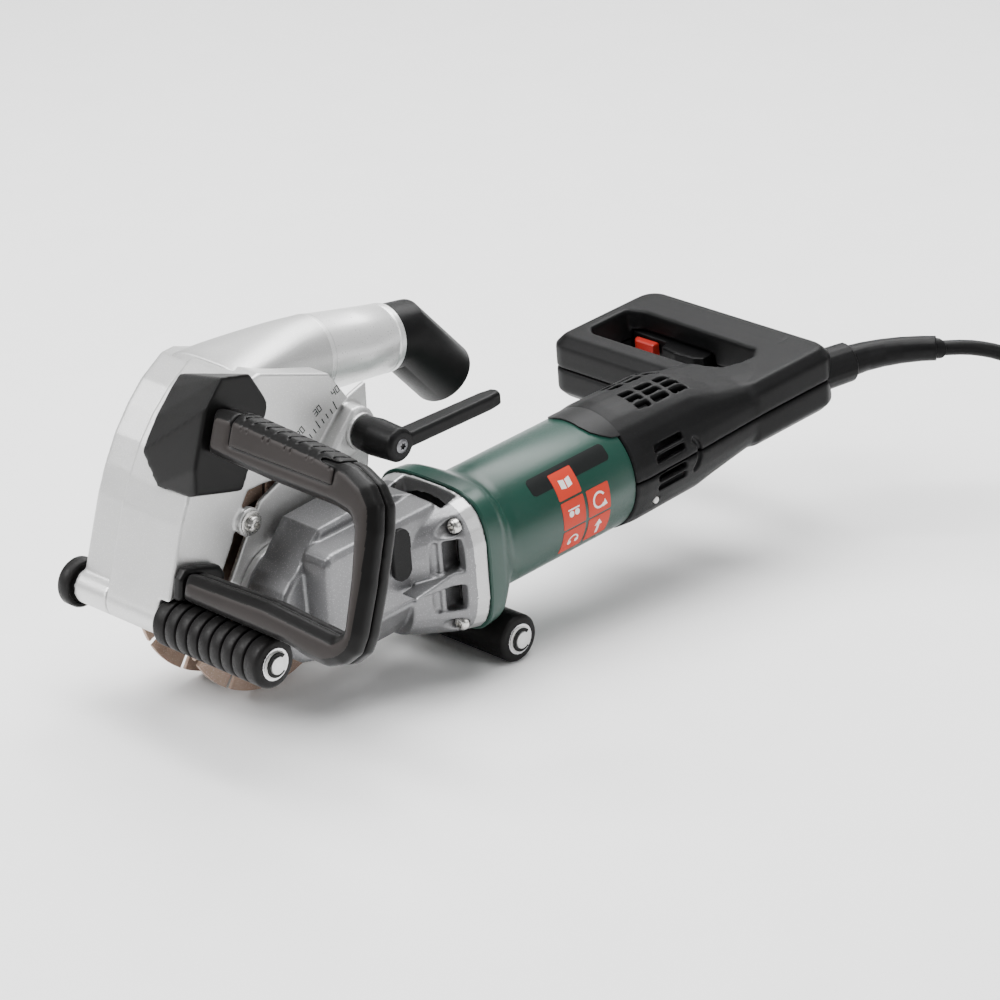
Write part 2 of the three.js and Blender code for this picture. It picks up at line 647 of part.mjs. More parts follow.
// ---------------------------------------------------------------- guard housing
const FRONT_U = -87;
const ROOF_W = 126;
const front = [[FRONT_U, -8], [FRONT_U, 40], [-85.5, 56], [-82, 74], [-76, 91], [-67, 107], [-55, 122]];
const inside = [[-50, 119], [-64, 105], [-73, 90], [-79, 73], [-82.5, 55], [-84, 40], [-84, -8]];

const tubeAlong = new THREE.Vector3(Math.cos(TUBE_PITCH), 0, Math.sin(TUBE_PITCH));
const tubeEnd = new THREE.Vector3(88, TUBE_Y, 137);
const onTube = (t) => tubeEnd.clone().addScaledVector(tubeAlong, t);

function guardOuter(y0, y1, grow = 0) {
  return plateY([
    ...front.map(([u, w]) => [u - grow, w]), [-48, ROOF_W + grow], [10, ROOF_W + grow], [26, 113],
    [34, 100], [30, 60], [30, -8],
  ], y0, y1);
}

function guardHousing() {
  const wall = plateY([
    ...front, [-48, ROOF_W], [6, ROOF_W], [25, 112],
    ...aboutRearAxle(SCALE_R, 131, 150, 6), [-30, 63], [-41, 59], [-45, 43], [-46, 29], [-49, 15],
    [-52, -8],
  ], GUARD_NEAR, GUARD_NEAR + WALL, 0.8);
  const skin = plateY([...front, [-48, ROOF_W], [6, ROOF_W], [25, 112], [22.5, 110], [4.5, ROOF_W - 3], ...inside],
    GUARD_NEAR + 1, GUARD_SPLIT);
  const axleTube = drumY(10.5, -26, GUARD_SPLIT, frontAxle.x, frontAxle.z, 28);
  const axleWeb = block(FRONT_U, -76, -26, GUARD_SPLIT, -12, -2);
  const screwBoss = drumY(8.5, GUARD_NEAR - 3, GUARD_NEAR + 2, -38, 42, 28);
  const chimney = pipe([onTube(-112), onTube(-60), onTube(0)], [25, 23, TUBE_R], 24);
  const bore = pipe([onTube(-120), onTube(-60), onTube(2)], [22, 20.4, TUBE_R - TUBE_WALL], 24);
  const room = plateY([...inside, [-46, -20], [60, -20], [60, 96], [22, 108.5], [4.5, ROOF_W - 3]],
    GUARD_NEAR + WALL, GUARD_SPLIT + 1);
  return cut(
    join(wall, skin, axleTube, axleWeb, screwBoss, cut(chimney, room)),
    bore,
    block(-200, 200, GUARD_SPLIT, 200, -100, 112),
    drumY(AXLE_R + GAP, -60, 60, frontAxle.x, frontAxle.z, 28),
    drumY(ROLLER_R + 1.2, -60, -26.3, frontAxle.x, frontAxle.z, 28),
    drumY(3 + GAP, -50, 0, -38, 42, 20),
  );
}

function guardCover() {
  const farFront = front.map(([u, w]) => [u + (w < 100 ? 5 : 3), w - (w > 100 ? 2 : 0)]);
  const y0 = GUARD_SPLIT + GAP;
  const outer = [...farFront, [-44, ROOF_W - 2.5], [30, ROOF_W - 2.5], [66, 90], [78, 40], [84, 10]];
  const shell = plateY([...outer, [84, -12], [farFront[0][0], -12]], y0, GUARD_FAR, 0.8);
  const room = plateY([
    ...inside.map(([u, w]) => [u + 5, w - 2]), [-79, -30], [100, -30], [77, 10], [73, 38], [62, 86],
    [28, ROOF_W - 6], [-44, ROOF_W - 6],
  ], y0 - 1, GUARD_FAR - WALL - 0.5);
  const arm = plateY([
    [60, 20], [80, 30], [REAR_AXLE.u + 6, REAR_AXLE.w + 9],
    ...arc(REAR_AXLE.u, REAR_AXLE.w, 11, 40, -110, 6), [64, -16],
  ], 30, GUARD_FAR);
  const hub = drumY(11, -1.4, GUARD_FAR, REAR_AXLE.u, REAR_AXLE.w, 28);
  const axleTube = drumY(10.5, y0, GUARD_FAR + 1, frontAxle.x, frontAxle.z, 28);
  return cut(join(cut(shell, room), arm, hub, axleTube),
    pipe([onTube(-125), onTube(-60), onTube(2)], [25.5, 23.6, TUBE_R + GAP], 24),
    drumY(AXLE_R + GAP, -10, 60, frontAxle.x, frontAxle.z, 28),
    drumY(AXLE_R + GAP, -10, 60, REAR_AXLE.u, REAR_AXLE.w, 28));
}

add(guard, 'guard_housing', guardHousing(), castAluminium);
add(guard, 'guard_cover', guardCover(), castAluminium);

add(guard, 'wall_screw', join(
  drumY(7.6, GUARD_NEAR - 4.6, GUARD_NEAR - 3.3, -38, 42, 28),
  drumY(4.6, GUARD_NEAR - 8.4, GUARD_NEAR - 4.5, -38, 42, 20),
  drumY(3, GUARD_NEAR - 6, GUARD_NEAR + WALL + 3, -38, 42, 16),
), darkSteel);

// ---------------------------------------------------------------- front handle
const capScrew = { u: -84, y: -8 };

function handleCap() {
  const nearSide = [[-88, 60], [-92, 74], [-92, 108], [-84, 126], [-64, 128], [-46, 112], [-45, 106.5], [-53, 62]];
  const farSide = [[-85.5, 71.5], [-78.5, 91], [-69.5, 107.5], [-64, 115]];
  const corners = [
    ...nearSide.map(([u, w]) => [u, -42, w]),
    ...farSide.map(([u, w], i) => [u, 8.5 + i, w]),
    [-88, -10, 56.5], [-88, -37, 57.5], [-56, -34, 60], [-46, -34, 108], [-56, -34, 126],
  ];
  const hull = wasm.Manifold.hull(corners);
  return cut(hull, guardOuter(GUARD_NEAR - GAP, 60, GAP));
}

add(guard, 'handle_cap', handleCap(), black);

const bracket = plateY([[-86, -0.2], [-88, 12], [-85, 18], [-77, 19.5], [-60, 19.5], [-55, 15], [-54, -0.2]],
  -42, GUARD_NEAR - GAP, 1.5);
add(guard, 'handle_bracket', bracket, black);

const barOutline = [
  [-42.3, 109], [-60, 110.5], [-90, 109], [-128, 107.3], [-150, 105], [-164, 99.5], [-173, 90],
  [-176, 76], [-178, 45], [-178, 20], [-176, 10], [-168, 2], [-157, -2.5], [-143, -2.2], [-124, 0.5],
  [-42.3, 1], [-42.3, 16.5], [-106, 18.5], [-160, 15.5], [-165, 20], [-163, 48], [-159, 74],
  [-155, 79.5], [-143, 81.5], [-90, 82], [-42.3, 84],
];

const handleRing = () => plateX(barOutline, HANDLE_U - HANDLE_DEPTH / 2, HANDLE_U + HANDLE_DEPTH / 2, 5);

function frontHandle() {
  const bar = handleRing();
  const gripRoom = block(-110, -50, -142, -60, 92, 120);
  const core = block(HANDLE_U - 9.5, HANDLE_U + 9.5, -143, -59, 88, 104);
  return join(cut(bar, gripRoom), core);
}

function gripPad() {
  const bar = handleRing();
  const region = block(-110, -50, -142 + GAP, -60 - GAP, 92 + GAP, 120);
  const core = block(HANDLE_U - 9.5 - GAP, HANDLE_U + 9.5 + GAP, -150, -50, 80, 104 + GAP);
  return cut(bar.intersect(region), core);
}

const handleBar = frontHandle();
const frontSide = block(-110, HANDLE_U - GAP / 2, -200, 0, -20, 130);
const rearSide = block(HANDLE_U + GAP / 2, -40, -200, 0, -20, 130);
add(guard, 'handle_shell_front', handleBar.intersect(frontSide), black);
add(guard, 'handle_shell_rear', handleBar.intersect(rearSide), black);
add(guard, 'handle_grip_pad', gripPad(), rubber);

// ---------------------------------------------------------------- dust elbow
const BEND = THREE.MathUtils.degToRad(38.7);
const ELBOW_R = 19.4;
const ELBOW_BEND_R = 22;
const ELBOW_LEAD = 5.8;

// Points of the elbow's centre line in the tube's own frame: along the tube, then down.
function elbowLine(lead, exit) {
  const points = [[-lead, 0], [ELBOW_LEAD, 0]];
  for (let i = 1; i <= 5; i += 1) {
    const a = (BEND * i) / 5;
    points.push([ELBOW_LEAD + ELBOW_BEND_R * Math.sin(a), ELBOW_BEND_R * (1 - Math.cos(a))]);
  }
  const [x, y] = points[points.length - 1];
  points.push([x + exit * Math.cos(BEND), y + exit * Math.sin(BEND)]);
  return points.map(([a, b]) => new THREE.Vector3(a, 0, -b));
}

function dustElbow() {
  const outerLine = elbowLine(-GAP - 0.1, 41);
  const boreLine = elbowLine(14, 43);
  const spigot = drumX(TUBE_R - TUBE_WALL - GAP, -12, 4, 0, 0, 20);
  const body = join(pipe(outerLine, outerLine.map(() => ELBOW_R), 20), spigot);
  return cut(body, pipe(boreLine, boreLine.map(() => 16), 20));
}

const tubeGroup = new THREE.Group();
tubeGroup.position.copy(tubeEnd);
tubeGroup.rotation.y = -TUBE_PITCH;
guard.add(tubeGroup);
add(tubeGroup, 'dust_elbow', dustElbow(), black);

// ---------------------------------------------------------------- cord
// Where the cord is not coiled its route is this list, from the sleeve down to the coil.
const CORD_ROUTE = [
  [470.5, -126, 108.7], [487, -138.5, 108], [503, -152, 103], [516, -166, 93], [527, -182, 77],
  [535, -198, 58], [541, -213, 39], [546, -227, 22], [550, -240, 10.5], [553, -252, 5.4],
];
const coilTop = COIL.layers * 2 * CORD_R;
const coilOuter = COIL.inner + (COIL.columns * 2 - 1) * CORD_R;

function cordTube(points, steps) {
  const curve = new THREE.CatmullRomCurve3(points, false, 'centripetal');
  const section = outline(arc(0, 0, CORD_R, 0, 324, 9));
  return solid(new THREE.ExtrudeGeometry(section, { steps, extrudePath: curve, bevelEnabled: false }));
}

add(floor, 'power_cord', cordTube(CORD_ROUTE.map((p) => new THREE.Vector3(...p)), 14), rubber);

function coilRing() {
  const inner = COIL.inner - CORD_R;
  const points = [[inner, 0], [coilOuter, 0], [coilOuter, coilTop], [inner, coilTop], [inner, 0]];
  const ring = new THREE.LatheGeometry(points.map(([r, z]) => new THREE.Vector2(r, z)), 32);
  ring.rotateX(Math.PI / 2);
  ring.translate(COIL.x, COIL.y, 0);
  return solid(ring);
}

add(floor, 'cord_coil', coilRing(), rubber);

// The tail climbs round the top of the coil to the plug, which lies on the coil.
const TAIL = { from: 200, to: 70, r: 52, rise: 13 };
const tailPoint = (i) => {
  const a = THREE.MathUtils.degToRad(TAIL.from + (TAIL.to - TAIL.from) * i);
  const lift = TAIL.rise * i * i * (3 - 2 * i);
  return new THREE.Vector3(
    COIL.x + TAIL.r * Math.cos(a), COIL.y + TAIL.r * Math.sin(a), coilTop + GAP + CORD_R + lift);
};
const tailPoints = Array.from({ length: 9 }, (_, i) => tailPoint(i / 8));
add(floor, 'cord_tail', cordTube(tailPoints, 12), rubber);

function plug() {
  const body = turnedX([
    [0, 0], [0, 6], [14, 8], [20, 15], [30, 18], [44, 18.2], [44, 16.6], [40, 16.6], [40, 0],
  ], 0, 0, 24);
  const pins = [-9.5, 9.5].map((z) => drumX(2.4, 39, 58, 0, z, 16));
  return join(body, ...pins);
}

const plugGroup = new THREE.Group();
const tailEnd = tailPoints[8];
const tailHeading = THREE.MathUtils.degToRad(TAIL.to - 90 - 12);
plugGroup.position.set(
  tailEnd.x + 2.2 * Math.cos(tailHeading), tailEnd.y + 2.2 * Math.sin(tailHeading), coilTop + GAP + 18.3);
plugGroup.rotation.z = tailHeading;
floor.add(plugGroup);
add(plugGroup, 'plug', plug(), rubber);

// ---------------------------------------------------------------- origin
// The origin is under the middle of the machine, without its cord, on the ground.
const CORD_NODES = new Set(['cord_sleeve', 'power_cord', 'cord_coil', 'cord_tail', 'plug']);
model.updateMatrixWorld(true);
const machine = new THREE.Box3();
model.traverse((child) => {
  if (child.isMesh && !CORD_NODES.has(child.name)) machine.expandByObject(child, true);
});
model.position.set(-(machine.min.x + machine.max.x) / 2, -(machine.min.y + machine.max.y) / 2, -machine.min.z);
model.updateMatrixWorld(true);

export default model;
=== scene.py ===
# Looks of the wall chaser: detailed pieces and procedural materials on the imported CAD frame.
import math
import bpy
import bmesh
import numpy as np
from mathutils import Matrix, Vector


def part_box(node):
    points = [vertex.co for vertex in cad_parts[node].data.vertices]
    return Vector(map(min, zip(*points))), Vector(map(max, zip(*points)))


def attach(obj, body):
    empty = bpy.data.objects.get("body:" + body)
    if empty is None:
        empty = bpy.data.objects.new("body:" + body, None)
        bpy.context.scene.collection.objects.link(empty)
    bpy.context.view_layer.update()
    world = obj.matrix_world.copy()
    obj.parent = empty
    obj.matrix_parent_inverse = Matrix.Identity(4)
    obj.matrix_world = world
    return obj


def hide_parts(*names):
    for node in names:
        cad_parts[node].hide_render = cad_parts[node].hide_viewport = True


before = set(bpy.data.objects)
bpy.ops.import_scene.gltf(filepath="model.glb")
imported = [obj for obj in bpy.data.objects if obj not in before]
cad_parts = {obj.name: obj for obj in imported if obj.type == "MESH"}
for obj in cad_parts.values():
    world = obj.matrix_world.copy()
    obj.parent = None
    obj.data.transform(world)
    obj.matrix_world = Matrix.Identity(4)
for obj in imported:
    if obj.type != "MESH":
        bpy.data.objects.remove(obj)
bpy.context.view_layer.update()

MM = 0.001
DISC_Y = 19.3                       # each disc's distance from the plane between the two
GROUND = np.array([0, 0, 62.5])     # the discs' centre above the ground
MOTOR_Y = -66.2                     # the motor's axis, from the plane between the discs
HOUSING_R = 37.5                    # the round part of the motor housing
PITCH_G, PITCH_M = math.radians(14.83), math.radians(5.6)     # how far the guard and the motor tilt
lo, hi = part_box("disc_near")
O = np.array([(lo.x + hi.x) / 2, (lo.y + hi.y) / 2 + DISC_Y * MM, (lo.z + hi.z) / 2])
GU = np.array([math.cos(PITCH_G), 0, -math.sin(PITCH_G)])
GW = np.array([math.sin(PITCH_G), 0, math.cos(PITCH_G)])
MS = np.array([math.cos(PITCH_M), 0, math.sin(PITCH_M)])
MN = np.array([-math.sin(PITCH_M), 0, math.cos(PITCH_M)])
YY = np.array([0.0, 1, 0])


def frame_of(x, z):
    """A matrix that takes millimetres in a tilted frame to metres in the row frame."""
    m = Matrix.Identity(4)
    for i in range(3):
        m[i][0], m[i][1], m[i][2], m[i][3] = x[i] * MM, YY[i] * MM, z[i] * MM, O[i]
    return m


GF, MF = frame_of(GU, GW), frame_of(MS, MN)                    # the guard's and the motor's frames
WF = frame_of(np.array([1.0, 0, 0]), np.array([0.0, 0, 1]))   # level, origin at the discs' centre


# ---------------------------------------------------------------- camera
AZIMUTH, ELEVATION = 0.79868, 0.38633
DISTANCE, ASIDE, RAISED = 2292.892, 146.006, 100.315          # the eye from the ground under the discs
back = np.array([-math.sin(AZIMUTH) * math.cos(ELEVATION), -math.cos(AZIMUTH) * math.cos(ELEVATION),
                 math.sin(ELEVATION)])
right = np.array([math.cos(AZIMUTH), -math.sin(AZIMUTH), 0])
up = np.array([math.sin(AZIMUTH) * math.sin(ELEVATION), math.cos(AZIMUTH) * math.sin(ELEVATION),
               math.cos(ELEVATION)])
eye = O - GROUND * MM + (DISTANCE * back + ASIDE * right + RAISED * up) * MM
cam_data = bpy.data.cameras.new("camera")
cam_data.sensor_width, cam_data.lens = 36, 144
cam = bpy.data.objects.new("camera", cam_data)
bpy.context.scene.collection.objects.link(cam)
cam.matrix_world = Matrix([[right[i], up[i], back[i], eye[i]] for i in range(3)] + [[0, 0, 0, 1]])
cam_data.clip_end = 20
bpy.context.scene.camera = cam


# ---------------------------------------------------------------- materials
def material(name, color, rough=0.5, metal=0.0, grain=900, bump=0.1, vary=0.12, rough_vary=0.1,
             speckle=0.0, coat=0.0, sheen=0.0, streak=None, wear=0.0, spec=0.5, big=18):
    """A surface with a fine grain, slow colour and roughness changes and, if asked, worn edges and streaks.
    """
    mat = bpy.data.materials.new(name)
    mat.use_nodes = True
    nt = mat.node_tree
    n, link = nt.nodes, nt.links.new
    b = n["Principled BSDF"]
    b.inputs["Metallic"].default_value = metal
    b.inputs["Coat Weight"].default_value = coat
    b.inputs["Coat Roughness"].default_value = 0.25
    b.inputs["Sheen Weight"].default_value = sheen
    b.inputs["Specular IOR Level"].default_value = spec
    at = n.new("ShaderNodeTexCoord")
    source = at.outputs["Object"]
    if streak:
        stretch = n.new("ShaderNodeMapping")
        stretch.inputs["Scale"].default_value = streak
        link(source, stretch.inputs["Vector"])
        fine_at = stretch.outputs["Vector"]
    else:
        fine_at = source

    def noise(scale, detail, where):
        t = n.new("ShaderNodeTexNoise")
        t.inputs["Scale"].default_value = scale
        t.inputs["Detail"].default_value = detail
        link(where, t.inputs["Vector"])
        return t.outputs["Fac"]

    def remap(value, from_low, from_high, to_low, to_high):
        r = n.new("ShaderNodeMapRange")
        for i, v in enumerate((from_low, from_high, to_low, to_high)):
            r.inputs[i + 1].default_value = v
        link(value, r.inputs[0])
        return r.outputs[0]

    def mix(fac, c1, c2):
        m = n.new("ShaderNodeMix")
        m.data_type = "RGBA"
        link(fac, m.inputs[0])
        for socket, c in ((m.inputs[6], c1), (m.inputs[7], c2)):
            if isinstance(c, tuple):
                socket.default_value = (*c, 1)
            else:
                link(c, socket)
        return m.outputs[2]

    fine = noise(grain, 3, fine_at)
    slow = noise(big, 4, source)
    dark = tuple(c * (1 - vary) for c in color)
    light = tuple(min(1, c * (1 + vary)) for c in color)
    out = mix(remap(slow, 0.35, 0.65, 0, 1), dark, light)
    if speckle:
        grit = n.new("ShaderNodeTexVoronoi")
        grit.inputs["Scale"].default_value = grain * 0.6
        link(source, grit.inputs["Vector"])
        bright = tuple(min(1, c + speckle) for c in color)
        out = mix(remap(grit.outputs["Distance"], 0.14, 0.3, 0.9, 0), out, bright)
    if wear:
        edge = n.new("ShaderNodeNewGeometry").outputs["Pointiness"]
        worn = tuple(min(1, c + wear) for c in color)
        out = mix(remap(edge, 0.53, 0.62, 0, 0.8), out, worn)
    link(out, b.inputs["Base Color"])
    r = remap(fine, 0.3, 0.7, rough - rough_vary, rough + rough_vary)
    link(r, b.inputs["Roughness"])
    bumped = n.new("ShaderNodeBump")
    bumped.inputs["Strength"].default_value = bump
    bumped.inputs["Distance"].default_value = 0.0004
    link(fine, bumped.inputs["Height"])
    link(bumped.outputs["Normal"], b.inputs["Normal"])
    return mat


CAST = material("cast_aluminium", (0.6, 0.6, 0.595), 0.4, 0.75, grain=1500, bump=0.28, vary=0.05,
                speckle=0.16, wear=0.12)
CAST_TUBE = material("smooth_aluminium", (0.8, 0.8, 0.795), 0.36, 0.65, grain=1200, bump=0.1, vary=0.03,
                     speckle=0.06)
DARK_CAST = material("dark_cast", (0.12, 0.12, 0.125), 0.45, 0.8, grain=1400, bump=0.25, vary=0.1,
                     speckle=0.08, wear=0.12)
GREY_CAST = material("grey_cast", (0.2, 0.2, 0.205), 0.42, 0.85, grain=1400, bump=0.25, vary=0.08,
                     speckle=0.12, wear=0.15)
LIGHT_CAST = material("light_cast", (0.48, 0.48, 0.48), 0.38, 0.85, grain=1400, bump=0.2, vary=0.06,
                      speckle=0.12, wear=0.15)
STEEL = material("bright_steel", (0.62, 0.62, 0.63), 0.24, 1.0, grain=700, bump=0.06, vary=0.05,
                 streak=(1, 0.05, 1), rough_vary=0.08)
DARK_STEEL = material("dark_steel", (0.16, 0.16, 0.17), 0.36, 1.0, grain=900, bump=0.1, vary=0.1, wear=0.15)
ZINC = material("zinc_screw", (0.58, 0.57, 0.55), 0.3, 1.0, grain=1200, bump=0.08, vary=0.08)
GREEN = material("green_plastic", (0.0045, 0.038, 0.026), 0.34, 0.0, grain=700, bump=0.05, vary=0.05,
                 spec=0.4, rough_vary=0.04, wear=0.02)
BLACK = material("black_plastic", (0.0035, 0.0035, 0.0038), 0.46, 0.0, grain=1700, bump=0.22, vary=0.12,
                 speckle=0.006, wear=0.012, rough_vary=0.06, spec=0.15)
BLACK_MATT = material("black_matt", (0.0033, 0.0033, 0.0035), 0.42, 0.0, grain=1300, bump=0.2, vary=0.15,
                      rough_vary=0.06, spec=0.15)
SOFT = material("soft_grip", (0.0036, 0.0034, 0.0034), 0.36, 0.0, grain=1500, bump=0.1, vary=0.12,
                sheen=0.02, rough_vary=0.06, spec=0.15)
# the same soft grip made lighter and browner: painted light for the handle's front faces, which face the key
# light
SOFT_LIT_FRONT = material("soft_grip_painted_light", (0.022, 0.0185, 0.0175), 0.45, 0.0, grain=1500, bump=0.12, vary=0.12,
                     sheen=0.04, rough_vary=0.05, spec=0.15)
RUBBER = material("roller_rubber", (0.006, 0.0055, 0.0055), 0.48, 0.0, grain=800, bump=0.25, vary=0.25,
                  rough_vary=0.12, wear=0.015, big=60, spec=0.15)
CORD = material("cord_rubber", (0.005, 0.005, 0.005), 0.42, 0.0, grain=600, bump=0.08, vary=0.15, spec=0.15)
WHITE = material("white_plastic", (0.72, 0.71, 0.69), 0.42, 0.0, grain=900, bump=0.08, vary=0.04)
RED = material("red_plastic", (0.3, 0.014, 0.009), 0.42, 0.0, grain=900, bump=0.05, vary=0.06, spec=0.3)
LABEL = material("label_black", (0.003, 0.004, 0.004), 0.4, 0.0, grain=900, bump=0.01, vary=0.05,
                 rough_vary=0.02, spec=0.3)
LABEL_RED = material("label_red", (0.5, 0.03, 0.012), 0.5, 0.0, grain=900, bump=0.02, vary=0.05,
                     rough_vary=0.03, spec=0.25)
LABEL_WHITE = material("label_white", (0.75, 0.74, 0.72), 0.4, 0.0, grain=900, bump=0.03, vary=0.03)
GRIT = material("diamond_segment", (0.42, 0.3, 0.235), 0.6, 0.35, grain=1600, bump=0.5, vary=0.2,
                speckle=0.25, rough_vary=0.15, big=45)
CORE = material("disc_core", (0.16, 0.115, 0.09), 0.4, 0.75, grain=900, bump=0.08, vary=0.15, big=30)
COPPER = material("copper_wire", (0.48, 0.2, 0.09), 0.35, 1.0, grain=500, bump=0.5, streak=(0.1, 1, 1))
DARK = material("dark_inside", (0.006, 0.006, 0.006), 0.8, 0.0, grain=500, bump=0.05, vary=0.1)
FLOOR = material("floor", (0.95, 0.95, 0.948), 0.65, 0.0, grain=60, bump=0.0, vary=0.01, rough_vary=0.03)


# ---------------------------------------------------------------- mesh tools
def to_object(name, verts, faces, mats, body, place=None, smooth=38, replaces=(), slot=None, index=None):
    """A piece made of verts and faces in the frame that place takes to the row frame."""
    mesh = bpy.data.meshes.new(name)
    mesh.from_pydata([tuple(map(float, v)) for v in verts], [], [tuple(f) for f in faces])
    if place is not None:
        mesh.transform(place)
    mesh.validate()
    bm = bmesh.new()
    bm.from_mesh(mesh)
    bmesh.ops.remove_doubles(bm, verts=bm.verts, dist=1e-7)
    bmesh.ops.recalc_face_normals(bm, faces=bm.faces)
    bm.to_mesh(mesh)
    bm.free()
    return finish_object(name, mesh, mats, body, smooth, replaces, index)


def finish_object(name, mesh, mats, body, smooth=38, replaces=(), index=None):
    """The piece's object: its materials, its shading, and what it rides on and stands for."""
    o = bpy.data.objects.new(name, mesh)
    bpy.context.scene.collection.objects.link(o)
    for m in mats if isinstance(mats, (list, tuple)) else [mats]:
        mesh.materials.append(m)
    if index is not None:
        for p in mesh.polygons:
            p.material_index = index(p)
    if smooth:
        mesh.shade_smooth()
        mesh.set_sharp_from_angle(angle=math.radians(smooth))
    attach(o, body)
    if replaces:
        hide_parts(*([replaces] if isinstance(replaces, str) else replaces))
    return o


def rings_mesh(rings, close_u=False, cap=True):
    """Verts and faces of a skin over rings with the same count."""
    m = len(rings[0])
    verts = [p for r in rings for p in r]
    faces = []
    k = len(rings)
    for i in range(k if close_u else k - 1):
        a, b = i * m, ((i + 1) % k) * m
        for j in range(m):
            faces.append((a + j, a + (j + 1) % m, b + (j + 1) % m, b + j))
    if cap and not close_u:
        faces.append(tuple(range(m))[::-1])
        faces.append(tuple(range((k - 1) * m, k * m)))
    return verts, faces


def lathe(profile, axis="y", centre=(0, 0), sides=72, closed=False):
    """A turned skin: profile is (along, radius); centre is the axis's other two coordinates."""
    rings = []
    for t, r in profile:
        ring = []
        for j in range(sides):
            a = 2 * math.pi * j / sides
            c, s = r * math.cos(a), r * math.sin(a)
            ring.append({"y": (centre[0] + c, t, centre[1] + s), "x": (t, centre[0] + c, centre[1] + s),
                         "z": (centre[0] + c, centre[1] + s, t)}[axis])
        rings.append(ring)
    return rings_mesh(rings, close_u=closed, cap=not closed)


def merge(*parts):
    """Several (verts, faces) as one."""
    verts, faces = [], []
    for v, f in parts:
        k = len(verts)
        verts += list(v)
        faces += [tuple(i + k for i in q) for q in f]
    return verts, faces


def prism(outline, a, b, axis="y", bevel=0.0, segments=2):
    """An outline pushed along an axis; given a bevel, its edges sharper than about 20 degrees are rounded."""
    bm = bmesh.new()

    def at(p, t):
        return {"y": (p[0], t, p[1]), "x": (t, p[0], p[1]), "z": (p[0], p[1], t)}[axis]

    low = [bm.verts.new(at(p, a)) for p in outline]
    high = [bm.verts.new(at(p, b)) for p in outline]
    k = len(outline)
    bm.faces.new(low)
    bm.faces.new(high[::-1])
    for i in range(k):
        bm.faces.new((low[i], high[i], high[(i + 1) % k], low[(i + 1) % k]))
    bmesh.ops.recalc_face_normals(bm, faces=bm.faces)
    if bevel:
        sharp = [e for e in bm.edges if e.calc_face_angle(0) > 0.35]
        bmesh.ops.bevel(bm, geom=sharp, offset=bevel, segments=segments, profile=0.5, affect="EDGES",
                        clamp_overlap=True)
    bm.verts.index_update()
    out = [tuple(v.co) for v in bm.verts], [tuple(v.index for v in f.verts) for f in bm.faces]
    bm.free()
    return out


def box(x0, x1, y0, y1, z0, z1, bevel=0.0, segments=2):
    return prism([(x0, z0), (x1, z0), (x1, z1), (x0, z1)], y0, y1, "y", bevel, segments)


def arc(cx, cy, r, a0, a1, n=12):
    """Points on an arc from a0 to a1 degrees."""
    return [(cx + r * math.cos(math.radians(a0 + (a1 - a0) * i / n)),
             cy + r * math.sin(math.radians(a0 + (a1 - a0) * i / n))) for i in range(n + 1)]


def spline(points, per=8, closed=False):
    """Catmull-Rom through the points."""
    p = np.array(points, float)
    k = len(p)
    out = []
    for i in range(k if closed else k - 1):
        p0, p1 = p[(i - 1) % k if closed else max(i - 1, 0)], p[i]
        p2, p3 = p[(i + 1) % k], p[(i + 2) % k if closed else min(i + 2, k - 1)]
        for j in range(per):
            t = j / per
            out.append(0.5 * ((2 * p1) + (p2 - p0) * t + (2 * p0 - 5 * p1 + 4 * p2 - p3) * t * t
                              + (3 * p1 - p0 - 3 * p2 + p3) * t ** 3))
    if not closed:
        out.append(p[-1])
    return np.array(out)


def superring(x, cy, cz, a, b, power, count=96):
    """A ring between an ellipse (power 2) and a rectangle (high powers)."""
    t = np.arange(count) * 2 * math.pi / count
    c, s = np.cos(t), np.sin(t)
    y = cy + a * np.sign(c) * np.abs(c) ** (2 / power)
    z = cz + b * np.sign(s) * np.abs(s) ** (2 / power)
    return [(x, q, w) for q, w in zip(y, z)]


def temp_object(verts, faces):
    """A scratch object for the modifiers, removed again once its result is taken."""
    mesh = bpy.data.meshes.new("scratch")
    mesh.from_pydata([tuple(map(float, v)) for v in verts], [], [tuple(f) for f in faces])
    bm = bmesh.new()
    bm.from_mesh(mesh)
    bmesh.ops.remove_doubles(bm, verts=bm.verts, dist=1e-3)
    bmesh.ops.recalc_face_normals(bm, faces=bm.faces)
    bm.to_mesh(mesh)
    bm.free()
    o = bpy.data.objects.new("scratch", mesh)
    bpy.context.scene.collection.objects.link(o)
    return o


def node_mesh(node, place):
    """A CAD node's own verts and faces in a tilted frame's millimetres."""
    bpy.context.view_layer.update()
    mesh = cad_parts[node].data
    inverse = place.inverted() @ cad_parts[node].matrix_world
    return [tuple(inverse @ v.co) for v in mesh.vertices], [tuple(p.vertices) for p in mesh.polygons]


def evaluated(o):
    """The mesh with its modifiers applied; the scratch object goes."""
    bpy.context.view_layer.update()
    dg = bpy.context.evaluated_depsgraph_get()
    mesh = bpy.data.meshes.new_from_object(o.evaluated_get(dg))
    bpy.data.objects.remove(o)
    return mesh


